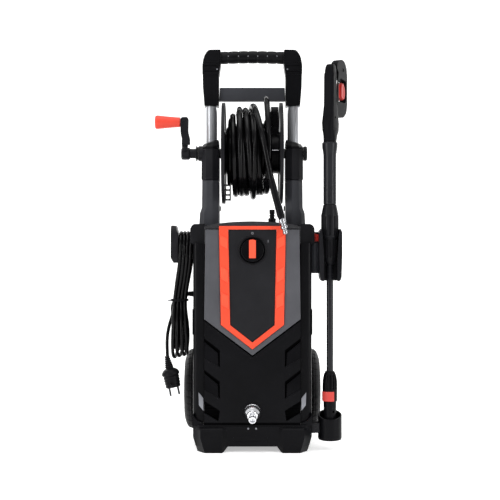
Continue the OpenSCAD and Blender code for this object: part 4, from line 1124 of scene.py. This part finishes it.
ferrule = lathe("hose_ferrule", [(6.7, -6), (8.0, -5.4), (8.2, -1), (7.4, 0), (8.0, 1), (8.2, 12), (7.8, 17), (7.0, 20), (6.4, 22.6), (5, 23), (5, -6)],
                Vector((57, -125, 528)), FD, BLACK, "chassis", 48, 0.35, 2)
fit = lathe("hose_nipple", [(4.9, 18), (5.6, 22), (6.9, 23), (7.4, 24.4), (7.4, 31.6), (6.6, 33), (5.4, 34), (5.4, 37.4), (6.6, 38.4), (7.3, 39.4), (7.3, 43.6), (6.4, 45),
                            (4.8, 46), (4.8, 49), (5.8, 50), (5.8, 54.6), (5.2, 56), (3, 56.6), (2.6, 48), (0, 48)],
            Vector((57, -125, 528)), FD, PLATED, "chassis", 48, 0.35, 2, None, ("hose_fitting",), 35)


def sweep(name, path, rad, mat, body, seg=24):
    ref = Vector((0, 1, 0))
    rings_ = []
    acc = 0.0
    for i, p in enumerate(path):
        d = (path[min(i + 1, len(path) - 1)] - path[max(i - 1, 0)]).normalized()
        u = (ref - d * ref.dot(d)).normalized()
        w = d.cross(u)
        if i:
            acc += (p - path[i - 1]).length
        q = rad(acc)
        rings_.append([p + (u * math.cos(2 * math.pi * k / seg) + w * math.sin(2 * math.pi * k / seg)) * q for k in range(seg)])
    return done(wnormal(tmp(loft(rings_)), 40), name, mat, body)


sl_path = smooth_path([tuple(p) for p in lead[-12:]], 1.5)
sl_len = length_of(sl_path)
sleeve = sweep("hose_sleeve", sl_path, lambda a: 6.7 + min(1.0, a / 14) * 0.9 - (0.45 if (a % 6.0) < 1.4 and 6 < a < sl_len - 6 else 0), BLACK, "chassis")
tie_r = []
for k in range(33):
    a = 2 * math.pi * k / 32
    cx, cy = math.cos(a), math.sin(a)
    px = -161.3 + 18.4 * math.copysign(abs(cx) ** 0.8, cx)
    py = HY + 16.4 * math.copysign(abs(cy) ** 0.8, cy)
    tie_r.append([(px + o * cx, py + o * cy, z) for o, z in ((0, 326.6), (1.3, 326.8), (1.5, 329), (1.3, 331.2), (0, 331.4))])
done(wnormal(tmp(loft(tie_r, False)), 40), "cable_tie", BLACK, "chassis")
piece("cable_tie_head", [boxm((-164, HY - 21, 325.6), (-158, HY - 16, 332.4)), boxm((-186, HY - 19.4, 328), (-163, HY - 18.2, 330.6))], [], BLACK, "chassis", 0.5, 2)

# ------------------------------------------------------------------ stage and light
def stage():
    m, nt, b = _mat("m_floor")
    b.inputs["Base Color"].default_value = (0.86, 0.86, 0.86, 1)
    b.inputs["Roughness"].default_value = 0.6
    b.inputs["Emission Color"].default_value = (1, 1, 1, 1)
    b.inputs["Emission Strength"].default_value = 0.42
    prof = [(-4.5, 0), (1.2, 0), (1.6, 0.03), (1.95, 0.15), (2.2, 0.45), (2.3, 0.9), (2.3, 4.0)]
    bm = bmesh.new()
    L = [bm.verts.new((-5, y, z)) for y, z in prof]
    R = [bm.verts.new((5, y, z)) for y, z in prof]
    for i in range(len(prof) - 1):
        bm.faces.new((L[i], R[i], R[i + 1], L[i + 1]))
    me = bpy.data.meshes.new("backdrop")
    bm.to_mesh(me)
    bm.free()
    me.materials.append(m)
    me.shade_smooth()
    o = bpy.data.objects.new("backdrop", me)
    SC.collection.objects.link(o)
    s = o.modifiers.new("s", "SUBSURF")
    s.levels = s.render_levels = 3
    w = bpy.data.worlds.new("w")
    SC.world = w
    w.use_nodes = True
    wt = w.node_tree
    bg = wt.nodes["Background"]
    # a studio: dark behind the camera, bright towards the backdrop and overhead
    tc = wt.nodes.new("ShaderNodeTexCoord")
    sep = wt.nodes.new("ShaderNodeSeparateXYZ")
    wt.links.new(tc.outputs["Generated"], sep.inputs[0])
    fy = _mapr(wt, sep.outputs[1], -0.75, 0.35, 0.0, 1.0)
    fz = _mapr(wt, sep.outputs[2], 0.25, 0.9, 0.0, 0.75)
    mx = wt.nodes.new("ShaderNodeMath")
    mx.operation = "MAXIMUM"
    wt.links.new(fy, mx.inputs[0])
    wt.links.new(fz, mx.inputs[1])
    st = _mapr(wt, mx.outputs[0], 0.0, 1.0, 0.46, 0.86)
    bg.inputs[0].default_value = (1, 1, 1, 1)
    wt.links.new(st, bg.inputs[1])

    def area(loc, target, size, power, shape=(1, 1)):
        ld = bpy.data.lights.new("a", "AREA")
        ld.shape = "RECTANGLE"
        ld.size, ld.size_y = size * shape[0], size * shape[1]
        ld.energy = power
        lo = bpy.data.objects.new("a", ld)
        SC.collection.objects.link(lo)
        lo.location = loc
        lo.rotation_euler = (Vector(target) - Vector(loc)).to_track_quat("-Z", "Y").to_euler()

    # two tall soft boxes beside the camera give the upright highlights, one overhead, two from behind
    area((-1.55, -1.25, 0.75), (0, 0, 0.45), 0.30, 19, (1, 4.6))
    area((1.55, -1.25, 0.75), (0, 0, 0.45), 0.30, 16, (1, 4.6))
    area((-0.5, -1.9, 1.9), (0, 0, 0.45), 0.7, 5, (1.2, 1))
    area((0, -0.4, 2.3), (0, 0, 0.4), 1.2, 18, (1.4, 1))
    area((-1.3, 1.3, 1.2), (0, 0, 0.5), 0.7, 11, (1, 2))
    area((1.3, 1.3, 1.2), (0, 0, 0.5), 0.7, 11, (1, 2))


stage()
SC.view_settings.view_transform = "Standard"
SC.view_settings.look = "None"
